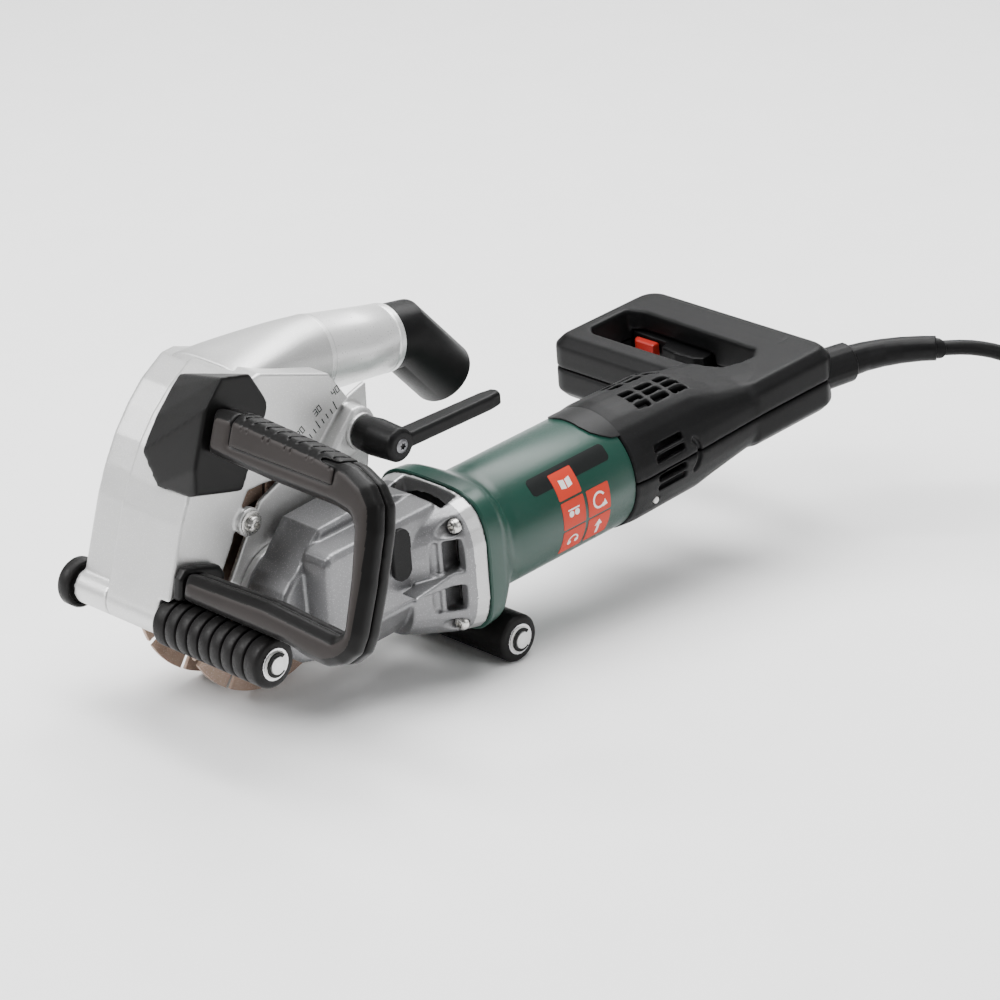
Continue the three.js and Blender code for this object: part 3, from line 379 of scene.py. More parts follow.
def cast(name, parts, place, mats, body, voxel=0.9, soften=3, cuts=(), replaces=(), index=None,
         keep=1.0, smooth=50, pre=0):
    """One moulded or cast piece: overlapping solids are fused, cut and their edges rounded."""
    base = temp_object(*merge(*parts))
    tools = []
    if cuts:
        first = base.modifiers.new("fuse", "REMESH")
        first.mode, first.voxel_size, first.adaptivity = "VOXEL", voxel, 0
        if pre:
            round_off = base.modifiers.new("round", "SMOOTH")
            round_off.factor, round_off.iterations = 0.5, pre
        for c in cuts:
            tool = temp_object(*c)
            tools.append(tool)
            b = base.modifiers.new("cut", "BOOLEAN")
            b.operation, b.object, b.solver = "DIFFERENCE", tool, "FAST"
    r = base.modifiers.new("skin", "REMESH")
    r.mode, r.voxel_size = "VOXEL", voxel
    s = base.modifiers.new("soften", "SMOOTH")
    s.factor, s.iterations = 0.5, soften
    if keep < 1:
        d = base.modifiers.new("thin", "DECIMATE")
        d.ratio = keep
    mesh = evaluated(base)
    for t in tools:
        bpy.data.objects.remove(t)
    mesh.name = name
    mesh.transform(place)
    return finish_object(name, mesh, mats, body, smooth, replaces, index)


def screw(name, at, along, place, body, r=4.2, depth=2.6, mat=None, washer=False):
    """A pan-head screw with a star recess; at is the seat, along the way its head faces."""
    sides, lobes, recess = 48, 6, 1.5
    star = [1.45 + 0.32 * math.cos(lobes * 2 * math.pi * j / sides) for j in range(sides)]
    base = 0.9 if washer else 0
    shape = []
    if washer:
        shape += [(0, r * 1.55), (0.75, r * 1.55), (0.9, r * 1.48)]
    shape += [(base, r), (base + depth * 0.45, r), (base + depth * 0.85, r * 0.82),
              (base + depth, r * 0.55)]
    skin = [[(t, rad) for _ in range(sides)] for t, rad in shape]
    skin += [[(base + depth, star[j] * r / 3.2) for j in range(sides)],
             [(base + depth - recess, star[j] * r / 3.3) for j in range(sides)]]
    d = np.array(along, float)
    d /= np.linalg.norm(d)
    ref = np.array([0, 0, 1.0]) if abs(d[2]) < 0.9 else np.array([1.0, 0, 0])
    p1 = np.cross(d, ref)
    p1 /= np.linalg.norm(p1)
    p2 = np.cross(d, p1)
    out = []
    for ring in skin:
        out.append([tuple(np.array(at) + d * t + rad * (math.cos(2 * math.pi * j / sides) * p1
                   + math.sin(2 * math.pi * j / sides) * p2)) for j, (t, rad) in enumerate(ring)])
    v, f = rings_mesh(out)
    return to_object(name, v, f, mat or ZINC, body, place)


# ---------------------------------------------------------------- cord
CORD_R = 4.8
ROUTE = [       # from the sleeve's end down to the coil, from the ground under the discs' centre
    (470.5, -126, 108.7), (487, -138.5, 108), (503, -152, 103), (516, -166, 93), (527, -182, 77),
    (535, -198, 58), (541, -213, 39), (546, -227, 22), (550, -240, 10.5), (553, -252, 5.4),
]
COIL_X, COIL_Y = 485.0, -278.0
INNER, OUTER, TOP_R = 42.0, 67.0, 52.0      # the turns' radii, and the top turn's
TURN_PITCH, LOWEST, TOP_RISE = 9.9, 4.9, 13
LAYERS, STEP, CLIMB = 4, 9.0, 48            # degrees between points, and for the rise to a new layer
START, PLUG_AT = 21, 70                     # where the coil starts and where the plug's cable entry lies


def ease(u):
    """From 0 to 1 with no kink at either end."""
    return u * u * (3 - 2 * u)


def coil_points():
    """Flat spirals on each other, in and out by turns, then most of a turn on top to the plug."""
    per_layer = 360 * (OUTER - INNER) / TURN_PITCH
    polar = []
    for k in range(int(LAYERS * per_layer / STEP) + 1):
        t = STEP * k
        layer = min(LAYERS - 1, int(t // per_layer))
        done = t - layer * per_layer
        f = done / per_layer
        r = OUTER - (OUTER - INNER) * f if layer % 2 == 0 else INNER + (OUTER - INNER) * f
        z = LOWEST + TURN_PITCH * layer
        left = per_layer - done
        if left < CLIMB:
            z += TURN_PITCH * ease(1 - left / CLIMB)
        polar.append((START - t, r + 6.8 * max(0, 1 - t / 90) ** 2, z))
    a0, r0, z0 = polar[-1]
    span = a0 - PLUG_AT - 360 * math.floor((a0 - 200) / 360)
    count = max(8, int(span / STEP))
    for i in range(1, count + 1):
        u = i / count
        rise, shift = max(0, 1 - (1 - u) * span / 120), min(1, u * span / 150)
        polar.append((a0 - span * u, r0 + (TOP_R - r0) * ease(shift), z0 + TOP_RISE * ease(rise)))
    return [(COIL_X + r * math.cos(math.radians(a)), COIL_Y + r * math.sin(math.radians(a)), z)
            for a, r, z in polar]


def row(p):
    """Points given from the ground under the discs' centre, in the row frame."""
    return np.array(p, float) * MM + O - GROUND * MM


path = np.array([tuple(p) for p in spline(ROUTE, 3)] + coil_points()[1:])
curve = bpy.data.curves.new("mains_cord", "CURVE")
curve.dimensions = "3D"
curve.bevel_depth, curve.bevel_resolution, curve.use_fill_caps = CORD_R * MM, 5, True
sp = curve.splines.new("POLY")
pts = row(path)
sp.points.add(len(pts) - 1)
for q, p in zip(sp.points, pts):
    q.co = (*p, 1)
sp.use_smooth = True
cord = bpy.data.objects.new("mains_cord", curve)
bpy.context.scene.collection.objects.link(cord)
curve.materials.append(CORD)
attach(cord, "motor_unit")
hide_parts("power_cord", "cord_coil", "cord_tail")


# ---------------------------------------------------------------- rollers, wheels, axles
def node_box(node):
    """A node's box in level millimetres from the discs' centre."""
    a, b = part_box(node)
    inv = WF.inverted()
    return inv @ Vector(a), inv @ Vector(b)


def roller(name, node, body, grooves):
    """A rubber roller in its node's box; returns its axis and its near end."""
    a, b = node_box(node)
    cx, cz = (a.x + b.x) / 2, (a.z + b.z) / 2
    r = (b.z - a.z) / 2
    y0, y1 = a.y, b.y
    prof = [(y0, r * 0.42), (y0, r - 2.2), (y0 + 0.5, r - 1.0), (y0 + 1.6, r - 0.15), (y0 + 2.6, r)]
    if grooves:
        step = (y1 - y0 - 3) / grooves
        for i in range(1, grooves):
            m = y0 + 1.5 + step * i
            prof += [(m - 1.25, r), (m - 0.8, r - 0.35), (m - 0.55, r - 1.5), (m + 0.55, r - 1.5),
                     (m + 0.8, r - 0.35), (m + 1.25, r)]
    prof += [(y1 - 2.6, r), (y1 - 1.6, r - 0.15), (y1 - 0.5, r - 1.0), (y1, r - 2.2), (y1, r * 0.42)]
    v, f = lathe(prof, "y", (cx, cz), 96)
    to_object(name, v, f, RUBBER, body, WF, smooth=40, replaces=node, slot="rubber")
    return cx, cz, y0


front_end = roller("front_roller_tyre", "front_roller", "front_roller", 9)
rear_end = roller("rear_roller_tyre", "rear_roller", "rear_roller", 0)


def end_ring(name, body, cx, cz, y, r_out=8.2):
    """The white bearing ring on the near face."""
    ring = lathe([(y + 2, 4.0), (y - 0.9, 4.0), (y - 1.1, 4.4), (y - 1.1, r_out - 0.9),
                  (y - 0.7, r_out - 0.3), (y + 2, r_out)], "y", (cx, cz), 64, closed=True)
    to_object(name + "_ring", *ring, WHITE, body, WF)


for label, body, (cx, cz, y), holder in (("front", "front_roller", front_end, "guard"),
                                         ("rear", "rear_roller", rear_end, "motor_unit")):
    end_ring(label + "_hub", body, cx, cz, y)
    outline = [(cx + p[0], cz + p[1]) for p in arc(0, 0, 7.2, 42, 318, 26) + arc(0, 0, 5.1, 318, 42, 26)]
    v, f = prism(outline, y - 2.2, y - 1.3, "y", 0.18, 1)
    to_object(label + "_clip", v, f, BLACK_MATT, holder, WF)


# ---------------------------------------------------------------- pieces refined from the CAD shapes
def refined(node, place, mats, body, voxel=0.9, soften=4, cuts=(), extra=(), index=None, keep=0.5,
            pre=0):
    """The node's own solid with rounded edges, with solids added and cut."""
    return cast(node + "_body", [node_mesh(node, place), *extra], place, mats, body, voxel, soften, cuts,
                node, index, keep, 50, pre)


def lit_handle_front(p):
    """The second material on the front faces of the handle: a lighter copy of the soft grip, painted light on
    the faces that face the key light.
    """
    return int((GF.inverted() @ p.center).x < -88.6)


def flange_side(p):
    """The second material on the gear housing's flange."""
    return int((MF.inverted() @ p.center).x > 79.2)


def ring_skin(profile, start, along, sides=72):
    """Rings along an axis, square to it if it lies in the xz plane: profile is (distance along, radius)."""
    d = np.array(along, float)
    d /= np.linalg.norm(d)
    p1 = np.array([0, 1.0, 0])
    p2 = np.cross(d, p1)
    p2 /= np.linalg.norm(p2)
    return [[tuple(np.array(start) + d * t + r * (math.cos(2 * math.pi * j / sides) * p1
             + math.sin(2 * math.pi * j / sides) * p2)) for j in range(sides)] for t, r in profile]


# guard: near housing, far cover, dust tube
TUBE_END = np.array([88.0, 8.0, 137.0])
TP = math.radians(10)
ALONG, DOWN = np.array([math.cos(TP), 0, math.sin(TP)]), np.array([math.sin(TP), 0, -math.cos(TP)])
above_roof = box(-45, 29, -30, 44, 126.3, 170)
refined("guard_housing", GF, CAST, "guard", voxel=0.85, soften=3, keep=0.5,
        cuts=[above_roof])

# the arch that runs from the guard's roof into the dust tube
arch = []
ARCH = [    # distance along the tube, middle, half width, height and power of each section
    (-141, 4, 31, 10.5, 3.2), (-139, 4, 31, 13.2, 3.2), (-125, 4.6, 30, 16.2, 3.0), (-105, 6, 28, 19.4, 2.6),
    (-82, 7.4, 25.4, 22.4, 2.2), (-62, 8, 23.6, 23.6, 2.0), (-58, 8, 23.4, 23.4, 2.0)]
ARCH_WALL = 2.6
for t, cy, a, b, power in spline(ARCH, 5):
    loop = []
    for grow, span in ((0, np.linspace(-28, 208, 61)), (-ARCH_WALL, np.linspace(208, -28, 61))):
        for deg in span:
            c, d = math.cos(math.radians(deg)), math.sin(math.radians(deg))
            y = cy + (a + grow) * math.copysign(abs(c) ** (2 / power), c)
            h = (b + grow) * math.copysign(abs(d) ** (2 / power), d)
            loop.append(tuple(TUBE_END + ALONG * t - DOWN * h + np.array([0, y - TUBE_END[1], 0])))
    arch.append(loop)
to_object("tube_arch", *rings_mesh(arch), CAST, "guard", GF, smooth=40)
refined("guard_cover", GF, CAST, "guard", voxel=1.1, soften=3, keep=0.4)
tube_wall = [(-62, 23.75), (-60, 23.7), (-58.6, 23.3), (-30, 21.8), (-6, 20.65), (-5.6, 20.35), (-4.4, 20.35),
             (-4.0, 20.62), (-0.6, 20.45), (0.0, 19.9), (0.0, 18.0), (-8, 17.6), (-8, 20.1), (-60, 23.0),
             (-62, 23.1)]
to_object("dust_tube_skin", *rings_mesh(ring_skin(tube_wall, TUBE_END, ALONG, 96), close_u=True, cap=False),
          CAST_TUBE, "guard", GF, smooth=35)

# dust elbow: two mitred pipes with a groove by the tube
BEND = math.radians(38.7)
LEG = math.cos(BEND) * ALONG + math.sin(BEND) * DOWN
lead = 5.8 + 22 * math.tan(BEND / 2)        # from the tube's end to the mitre
leg = 22 * math.tan(BEND / 2) + 41          # from the mitre to the mouth
MITRE = TUBE_END + ALONG * lead
plane = (ALONG + LEG) / np.linalg.norm(ALONG + LEG)


def mitre_ring(r, sides=96):
    """The ring where both pipes meet, on the plane that halves the bend."""
    out = []
    side = np.array([0, 1.0, 0])
    w = np.cross(ALONG, side)
    for j in range(sides):
        a = 2 * math.pi * j / sides
        off = r * (math.cos(a) * side + math.sin(a) * w)
        p = MITRE + off
        p = p - ALONG * ((p - MITRE) @ plane) / (ALONG @ plane)
        out.append(tuple(p))
    return out


inlet = [(-lead + 0.3, 17.0), (-lead + 0.3, 18.6), (-lead + 0.9, 19.3)]
mouth = [(leg - 1.2, 19.4), (leg - 0.3, 19.1), (leg, 18.3), (leg, 16.6), (leg - 0.6, 16.1)]
rings = ring_skin(inlet, MITRE, ALONG, 96) + [mitre_ring(19.4)]
rings += ring_skin(mouth, MITRE, LEG, 96) + [mitre_ring(16)]
rings += ring_skin([(-lead + 0.3, 16.0)], MITRE, ALONG, 96)
to_object("elbow_pipe", *rings_mesh(rings, close_u=True, cap=False), BLACK_MATT, "dust_elbow", GF, smooth=30,
          replaces="dust_elbow", slot="black_plastic")

# front handle
pad_line = prism([(-46, 107.0), (-140, 104.6), (-141.2, 104.0), (-140, 103.7), (-46, 106.0)],
                 -90.5, -88.9, "x")
# its front faces take the lighter soft grip, painted light
refined("handle_shell_front", GF, [SOFT, SOFT_LIT_FRONT], "guard", voxel=0.8, soften=3, pre=36,
        index=lit_handle_front, keep=0.6, cuts=[pad_line])
refined("handle_shell_rear", GF, SOFT, "guard", voxel=0.8, soften=30, keep=0.6)
ribs = []
for i in range(9):
    y = -137 + i * 8.6
    top = 107.3 + (y + 128) * 0.045
    kink = 3.2 if i % 2 else -1.0
    zig = [(-98, y + kink), (-88.5, y + kink), (-84, y + 1.2), (-58, y - 1.6)]
    low = [(a, b + 1.3) for a, b in zig][::-1]
    ribs.append(prism(zig + low, top - 1.9, 118, "z"))
    front = [(-96, y + kink), (-88.4, y + kink), (-88.4, y + kink + 1.3), (-96, y + kink + 1.3)]
    ribs.append(prism(front, top - 7, 118, "z"))
# its front faces take the lighter soft grip, painted light
refined("handle_grip_pad", GF, [SOFT, SOFT_LIT_FRONT], "guard", voxel=0.55, soften=2, pre=60,
        index=lit_handle_front, cuts=ribs, keep=0.6)
refined("handle_cap", GF, SOFT, "guard", voxel=0.8, soften=14)
refined("handle_bracket", GF, SOFT, "guard", voxel=0.8, soften=3)

# gear head
fin = prism([(38, 0.4), (76, 5.2), (79, 4.2), (79, -3.8), (76, -4.6), (38, -0.6)], -102.5, -90, "y", 0.8)
window_bar = box(62.6, 66.4, -97.4, -90, -20, 24, 0.7)
grooves = [prism([(-14, z), (74, z), (74, z + 1.2), (-14, z + 1.2)], -90, -87.3, "y") for z in (15.4, -9.6)]
refined("gear_housing", MF, [GREY_CAST, LIGHT_CAST], "motor_unit", voxel=0.75, soften=3,
        extra=[fin, window_bar], index=flange_side, keep=0.5, cuts=grooves)
refined("bearing_flange", MF, CAST, "motor_unit", voxel=0.8, soften=2)
refined("spindle_lock_button", MF, BLACK, "spindle_lock_button", voxel=0.5, soften=3,
        cuts=[box(-200, 200, -96, -94.7, -0.6 + d, 0.6 + d) for d in (-6, 0, 6)])
for i, (dy, n) in enumerate([(-33.2, 30.5), (-33.2, -30.5), (33.2, 30.5), (33.2, -30.5)], 1):
    head = screw(f"gear_screw_head_{i}", (75.0, MOTOR_Y + dy, n), (-1, 0, 0), MF, "motor_unit", r=4.55,
                 depth=3.9)
    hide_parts(f"housing_screw_{i}")
head = screw("wall_screw_head", (-38, -37.1, 42), (0, -1, 0), GF, "guard", r=4.7, depth=4.0, washer=True)
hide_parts("wall_screw")
refined("inner_hood", GF, CAST, "motor_unit", voxel=0.8, soften=3)

# motor housing
skin = [    # distance along the motor, half width, and power: square at the flange, then round
    (88.35, 43.4, 3.8), (88.6, 44.3, 3.8), (89.4, 44.95, 3.8), (99.0, 44.5, 3.6), (101.5, 43.9, 3.5),
    (104.5, 42.4, 3.2), (107.5, 40.7, 2.9), (110.5, 39.1, 2.5), (113.2, 38.0, 2.2), (116, 37.55, 2.0),
    (123, HOUSING_R, 2.0), (217.2, HOUSING_R, 2.0), (217.8, 37.2, 2.0), (217.9, 30.0, 2.0)]
rings = [superring(s, MOTOR_Y, 0, a, a, p, 160) for s, a, p in skin]
to_object("motor_housing_skin", *rings_mesh(rings), GREEN, "motor_unit", MF, smooth=30,
          replaces="motor_housing", slot="green_housing")
gasket = [superring(s, MOTOR_Y, 0, a, a, 3.7, 160) for s, a in ((87.6, 43.2), (88.5, 43.2))]
to_object("flange_gasket", *rings_mesh(gasket), DARK, "motor_unit", MF, smooth=30)
joint = [superring(s, MOTOR_Y, 0, a, a, 2.0, 120) for s, a in ((217.6, 36.4), (218.9, 36.4))]
to_object("shell_joint_ring", *rings_mesh(joint), DARK, "motor_unit", MF, smooth=30)


def wrap(name, s0, s1, a0, a1, mat, lift=0.12, corner=3.0):
    """A thin plate bent round the motor housing, from angle a0 to a1 above the near side."""
    half_s, half_a = (s1 - s0) / 2, math.radians(a1 - a0) / 2 * HOUSING_R
    cs, ca = (s0 + s1) / 2, math.radians(a0 + a1) / 2 * HOUSING_R
    corner = min(corner, half_s, half_a)
    outline = []
    for sx, sy, b0 in ((1, 1, 0), (-1, 1, 90), (-1, -1, 180), (1, -1, 270)):
        outline += arc(cs + sx * (half_s - corner), ca + sy * (half_a - corner), corner, b0, b0 + 90, 5)
    plate(name, outline, mat, lift)


def plate(name, outline, mat, lift=0.12, deep=0.25, strip=1.6):
    """Any outline of (s, arc length) laid on the housing: cut in strips so that it bends."""
    bm = bmesh.new()
    bm.faces.new([bm.verts.new((a, b, 0)) for a, b in outline])
    lowest, highest = min(b for _, b in outline), max(b for _, b in outline)
    k = 1
    while lowest + k * strip < highest:
        bmesh.ops.bisect_plane(bm, geom=list(bm.verts) + list(bm.edges) + list(bm.faces),
                               plane_co=(0, lowest + k * strip, 0), plane_no=(0, 1, 0))
        k += 1
    top = bmesh.ops.extrude_face_region(bm, geom=list(bm.faces))
    for v in top["geom"]:
        if isinstance(v, bmesh.types.BMVert):
            v.co.z = lift + deep
    for v in bm.verts:
        t, h = v.co.y / HOUSING_R, HOUSING_R - deep + v.co.z
        v.co = (v.co.x, MOTOR_Y - h * math.cos(t), h * math.sin(t))
    mesh = bpy.data.meshes.new(name)
    bmesh.ops.recalc_face_normals(bm, faces=bm.faces)
    bm.to_mesh(mesh)
    bm.free()
    mesh.transform(MF)
    finish_object(name, mesh, mat, "motor_unit", 30)


def symbol(name, outline):
    """A white piece of a pictogram, on its red plate."""
    plate(name, outline, LABEL_WHITE, 0.28)


def bar(s0, s1, b0, b1):
    return [(s0, b0), (s1, b0), (s1, b1), (s0, b1)]


LABEL_SPAN = (140, 204, 34, 51)     # along the motor, and degrees above the near side
ICONS = {"book": (165.5, 33), "goggles": (165.5, 5), "cups": (165.5, -23), "turn": (186.5, 5),
         "depth": (186.5, -23)}
wrap("name_plate", *LABEL_SPAN, LABEL)
for i, (icon, (m, deg)) in enumerate(ICONS.items(), 1):
    b = math.radians(deg) * HOUSING_R
    wrap(f"icon_plate_{i}", m - 9.2, m + 9.2, deg - 12.9, deg + 12.9, LABEL_RED, lift=0.16, corner=0.8)
    if icon == "book":
        for k, side in enumerate((-1, 1), 1):
            symbol(f"icon_book_{k}", [(m + side * 0.5, b - 3.0), (m + side * 4.4, b - 2.2),
                                      (m + side * 4.4, b + 3.2), (m + side * 0.5, b + 2.4)])
    elif icon == "goggles":
        for k, side in enumerate((-1, 1), 1):
            symbol(f"icon_goggle_{k}", arc(m + side * 2.3, b, 1.9, 0, 330, 14))
        symbol("icon_goggle_strap", bar(m - 4.6, m + 4.6, b + 2.3, b + 3.1))
    elif icon == "cups":
        for k, side in enumerate((-1, 1), 1):
            symbol(f"icon_cup_{k}", arc(m + side * 3.0, b - 1.2, 1.5, 0, 330, 12))
        symbol("icon_cup_band", arc(m, b - 0.6, 4.4, 10, 170, 14) + arc(m, b - 0.6, 3.5, 170, 10, 14))
    elif icon == "turn":
        symbol("icon_turn_ring", arc(m, b, 5.2, 30, 320, 22) + arc(m, b, 3.9, 320, 30, 22))
        symbol("icon_turn_head", [(m + 2.2, b - 5.2), (m + 6.4, b - 4.6), (m + 4.6, b - 0.8)])
    else:
        symbol("icon_depth_stem", bar(m - 1, m + 1, b - 5, b + 2))
        symbol("icon_depth_head", [(m - 3, b + 1.6), (m + 3, b + 1.6), (m, b + 5.6)])

# rear handle
top_vents = []
for s0, s1 in ((246, 257), (260, 273), (276, 289)):
    for y0, y1 in ((-58, -53.8), (-51.6, -47.4)):
        top_vents.append(box(s0 + 3, s1 + 3, y0, y1, 29, 60))
    for y0, y1 in ((-85, -80.6), (-78.2, -73.8), (-71.4, -67)):
        top_vents.append(box(s0 - 2, s1 - 2, y0, y1, 29, 60))
upper_vents = [box(237, 262, -125, -98, 12.6, 17.4), box(237, 262, -125, -99.5, 6.2, 11)]
lower_vents = [box(237, 262, -125, -100.5, -5.4, -1.6), box(237, 262, -125, -100.5, -11.4, -7.4)]
slide_recess = prism(arc(262, 0, 14.2, -58, 58, 16) + arc(262, 0, 10.6, 58, -58, 16), -120, -101.6, "y")
inlay = [box(385, 386, -70, 32, 20.1, 24), box(399, 400, -70, 32, 20.1, 24),
         box(385, 400, -71, -70, 20.1, 24), box(385, 400, 31.5, 32.5, 20.1, 24)]
lamp_hole = prism(arc(237, -18, 2.9, 0, 345, 23), -125, -99, "y")
refined("rear_shell_upper", MF, BLACK, "motor_unit", voxel=0.85, soften=2, pre=16,
        cuts=top_vents + upper_vents + [slide_recess] + inlay, keep=0.55)
refined("rear_shell_lower", MF, BLACK, "motor_unit", voxel=0.85, soften=2, pre=16,
        cuts=lower_vents + [slide_recess, lamp_hole], keep=0.5)
to_object("status_lamp", *prism(arc(237, -18, 2.1, 0, 345, 23), -101.4, -99.8, "y", 0.3), WHITE,
          "motor_unit", MF)
tongue = [(219.5, 48), (213, 50), (207, 57), (203, 64), (201, 74), (201, 106), (203, 116), (207, 123),
          (213, 130), (219.5, 132)]
plate("shell_tongue", [(a, math.radians(b) * HOUSING_R) for a, b in tongue], BLACK, lift=1.0, deep=0.3)
sleeve_end = np.array(ROUTE[0])
lip = [(-9, 3.0), (-9, 6.3), (-1.5, 6.6), (-0.5, 6.5), (-0.05, 6.0), (-0.05, 3.0)]
lip_rings = ring_skin(lip, sleeve_end - GROUND, np.array(ROUTE[1]) - sleeve_end, 64)
to_object("sleeve_lip", *rings_mesh(lip_rings, close_u=True, cap=False), BLACK_MATT, "motor_unit", WF)
screw("lever_screw", (30, -75.6, 95), (0, -1, 0), GF, "clamp_lever", r=4.2, depth=1.2, mat=DARK_STEEL)
refined("cord_collar", MF, BLACK, "motor_unit", voxel=0.6, soften=3, keep=0.7)
refined("cord_sleeve", WF, BLACK_MATT, "motor_unit", voxel=0.6, soften=5, keep=0.6)
refined("trigger", MF, BLACK_MATT, "trigger", voxel=0.6, soften=3, keep=0.6)
refined("lock_off_button", MF, RED, "lock_off_button", voxel=0.45, soften=3, keep=0.6)
refined("clamp_lever", GF, BLACK_MATT, "clamp_lever", voxel=0.6, soften=4, keep=0.6)
refined("clamp_washer", GF, CAST, "motor_unit", voxel=0.4, soften=2)
refined("plug", WF, BLACK_MATT, "motor_unit", voxel=0.7, soften=3, keep=0.6)

# wheels on the far side
for node, body in (("front_wheel", "front_wheel"), ("rear_wheel", "rear_wheel")):
    a, b = node_box(node)
    cx, cz, r = (a.x + b.x) / 2, (a.z + b.z) / 2, (b.z - a.z) / 2
    near = [(a.y, 5.4), (a.y, 8.0), (a.y + 1.2, 8.6), (a.y + 1.2, r - 3.2), (a.y, r - 2.4),
            (a.y + 0.2, r - 1.0), (a.y + 1.4, r)]
    prof = near + [(a.y + b.y - y, rad) for y, rad in reversed(near)]
    to_object(node + "_tyre", *lathe(prof, "y", (cx, cz), 96, closed=True), RUBBER, body, WF, smooth=40,
              replaces=node, slot="rubber")


# ---------------------------------------------------------------- cutting discs
def disc(node, mid_y, segments=12):
    """A segmented blade: a steel core with a gullet between each two raised diamond segments."""
    core_r, seg_in, seg_out, gullet_r, slot_end = 54.4, 53.6, 62.45, 46.5, 44.6
    pitch, half_slot, half_y = 360 / segments, 0.014, 1.2
    outline, rim = [], []
    for k in range(segments):
        a0, a1 = pitch * k, pitch * (k + 1)
        outline += arc(0, 0, core_r, a0 + 1.8, a1 - 1.8, 8)
        c = math.radians(a1)
        for r, turn in ((gullet_r, -half_slot), (slot_end, 0), (gullet_r, half_slot)):
            outline.append((r * math.cos(c + turn), r * math.sin(c + turn)))
        segment = arc(0, 0, seg_out, a0 + 1.9, a1 - 1.9, 9) + arc(0, 0, seg_in, a1 - 1.9, a0 + 1.9, 9)
        rim.append(prism(segment, mid_y - half_y, mid_y + half_y, "y", 0.15, 1))
    core = prism(outline, mid_y - 0.8, mid_y + 0.8, "y")
    o = to_object(node + "_blade", *merge(core, *rim), [CORE, GRIT], "spindle_set", WF, smooth=30,
                  replaces=node, slot="disc")
    inverse = WF.inverted()
    for p in o.data.polygons:
        q = inverse @ p.center
        p.material_index = int(math.hypot(q.x, q.z) > 54.5 or abs(abs(q.y - mid_y) - half_y) < 0.05)


disc("disc_near", -DISC_Y)
disc("disc_far", DISC_Y)

# ---------------------------------------------------------------- depth scale on the near wall
U0, W0 = 131.3, -15.0               # the rear axle in the guard's frame, round which the scale runs
WALL_IN, MARK_OUT, FIGURE_OUT = -33.7, -34.12, -34.14


def on_scale(r, deg):
    return np.array([U0 + r * math.cos(math.radians(deg)), W0 + r * math.sin(math.radians(deg))])


for i in range(13):
    deg = 133.5 + i * 1.3
    p, q = on_scale(166.2, deg), on_scale(170.0 if i % 4 else 172.5, deg)
    d = (q - p) / np.linalg.norm(q - p)
    w = np.array([-d[1], d[0]]) * 0.33
    outline = [tuple(p + w), tuple(q + w), tuple(q - w), tuple(p - w)]
    to_object(f"scale_mark_{i + 1}", *prism(outline, MARK_OUT, WALL_IN, "y"), LABEL, "guard", GF, smooth=0)


SEGMENTS = {"0": "abcdef", "2": "abged", "3": "abgcd", "4": "fgbc"}
STROKE = {"a": (0, 2, 1, 2), "b": (1, 1, 1, 2), "c": (1, 0, 1, 1), "d": (0, 0, 1, 0), "e": (0, 0, 0, 1),
          "f": (0, 1, 0, 2), "g": (0, 1, 1, 1)}


def scale_number(text, r, deg, size=2.0):
    """Depth figures outside the marks, their feet towards them."""
    corner = on_scale(r, deg)
    out = np.array([math.cos(math.radians(deg)), math.sin(math.radians(deg))])
    side = np.array([out[1], -out[0]])
    parts = []
    for k, ch in enumerate(text):
        for g in SEGMENTS[ch]:
            x0, z0, x1, z1 = STROKE[g]
            p = corner + side * (size * (x0 + k * 1.6)) + out * (size * z0)
            q = corner + side * (size * (x1 + k * 1.6)) + out * (size * z1)
            e = (q - p) / np.linalg.norm(q - p) * 0.25
            w = np.array([-e[1], e[0]])
            parts.append(prism([tuple(p - e + w), tuple(q + e + w), tuple(q + e - w), tuple(p - e - w)],
                               FIGURE_OUT, WALL_IN, "y"))
    to_object("scale_number_" + text, *merge(*parts), LABEL, "guard", GF, smooth=0)


for k, text in enumerate(("40", "30", "20")):
    scale_number(text, 174.5, 132.9 + k * 5.2)


# ---------------------------------------------------------------- carried-over CAD nodes
PAINT = {
    CAST: "front_axle rear_axle clamp_bolt",
    STEEL: "spindle armature_bearing_front armature_bearing_rear spindle_bearing_inner "
           "spindle_bearing_outer trigger_pin front_roller_bush rear_roller_bush inner_flange "
           "clamping_nut spacer_ring_1 spacer_ring_2",
    DARK_STEEL: "bevel_gear bevel_pinion armature",
    BLACK: "switch_module electronics_module",
    BLACK_MATT: "cooling_fan",
    COPPER: "stator brush_holder_near brush_holder_far",
}
painted = {name: mat for mat, names in PAINT.items() for name in names.split()}
for name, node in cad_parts.items():
    for place in node.material_slots:
        place.link = "OBJECT"
        place.material = painted.get(name, DARK_CAST)


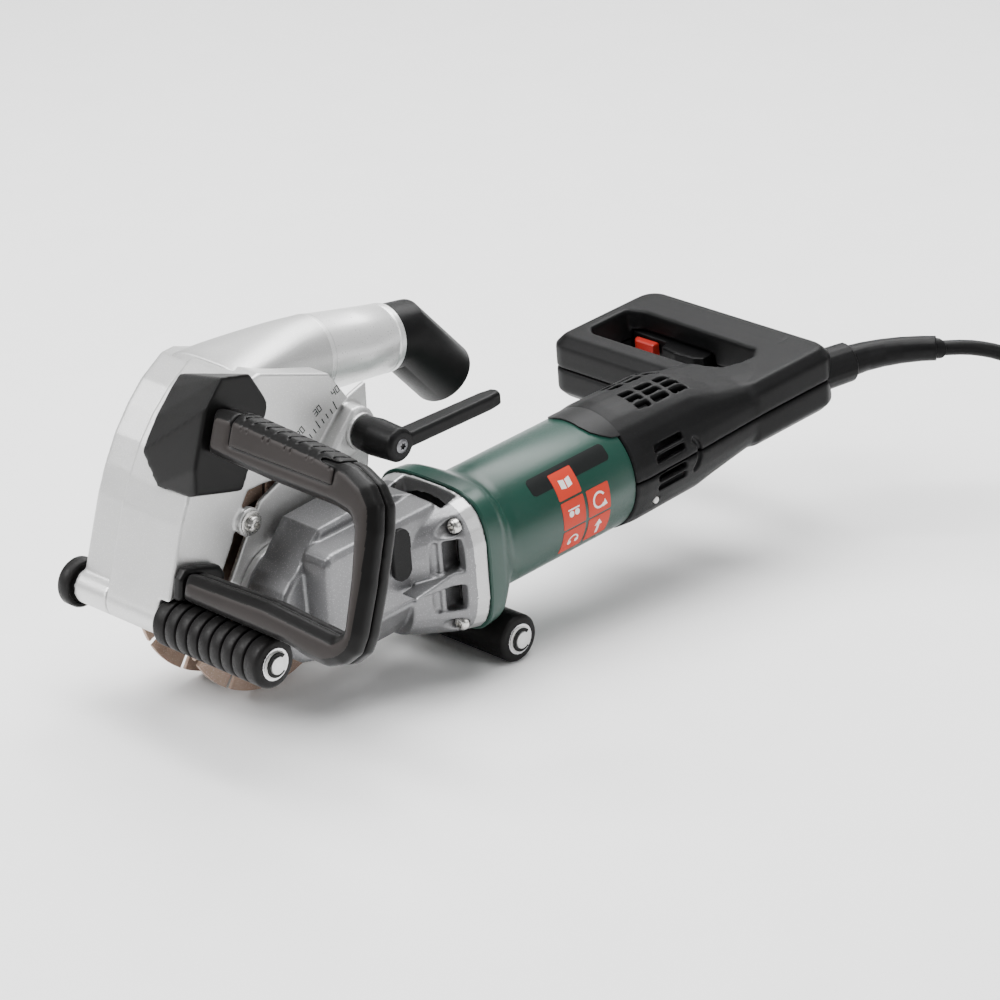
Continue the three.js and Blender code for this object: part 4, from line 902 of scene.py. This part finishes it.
# ---------------------------------------------------------------- floor and light
HALF, FLAT_TO, SWEEP, WALL_TOP = 14.0, 2.2, 1.5, 12.0     # metres: a floor that curves up into a wall
floor = bpy.data.meshes.new("floor")
verts, faces = [], []
prof = [(-HALF, 0.0), (FLAT_TO, 0.0)]
prof += [(FLAT_TO + SWEEP * math.sin(t), SWEEP - SWEEP * math.cos(t))
         for t in np.linspace(0.1, math.pi / 2, 14)]
prof += [(FLAT_TO + SWEEP, WALL_TOP)]
across = np.array([math.cos(AZIMUTH), -math.sin(AZIMUTH)])
away = np.array([math.sin(AZIMUTH), math.cos(AZIMUTH)])
for d, z in prof:
    for side in (-HALF, HALF):
        q = across * side + away * d
        verts.append((q[0], q[1], z))
for i in range(len(prof) - 1):
    faces.append((2 * i, 2 * i + 1, 2 * i + 3, 2 * i + 2))
floor.from_pydata(verts, [], faces)
floor.materials.append(FLOOR)
for p in floor.polygons:
    p.use_smooth = True
floor_object = bpy.data.objects.new("floor", floor)
bpy.context.scene.collection.objects.link(floor_object)


def area(name, where, power, size, target=(0, 0, 0.1)):
    """A rectangular light that faces the machine."""
    data = bpy.data.lights.new(name, "AREA")
    data.energy, data.shape, data.size, data.size_y = power, "RECTANGLE", size[0], size[1]
    o = bpy.data.objects.new(name, data)
    bpy.context.scene.collection.objects.link(o)
    o.location = where
    o.rotation_euler = (Vector(target) - Vector(where)).to_track_quat("-Z", "Y").to_euler()
    return o


def from_camera(side, height, dist):
    """A place by the camera's directions: to its right, up, and towards it."""
    q = -away * dist + across * side
    return (q[0], q[1], height)


lights = [
    area("key", from_camera(-1.9, 1.7, 0.5), 74, (1.2, 1.2)),
    area("top", (0.1, 0.1, 2.3), 92, (1.8, 1.8)),
    area("fill", from_camera(1.9, 1.2, 1.2), 16, (1.4, 1.4)),
    area("rim", from_camera(0.6, 1.9, -1.6), 42, (1.6, 0.8)),
]
world = bpy.data.worlds.new("world")
bpy.context.scene.world = world
world.use_nodes = True
sky = world.node_tree.nodes["Background"].inputs
sky["Color"].default_value = (0.93, 0.94, 0.95, 1)
sky["Strength"].default_value = 0.3
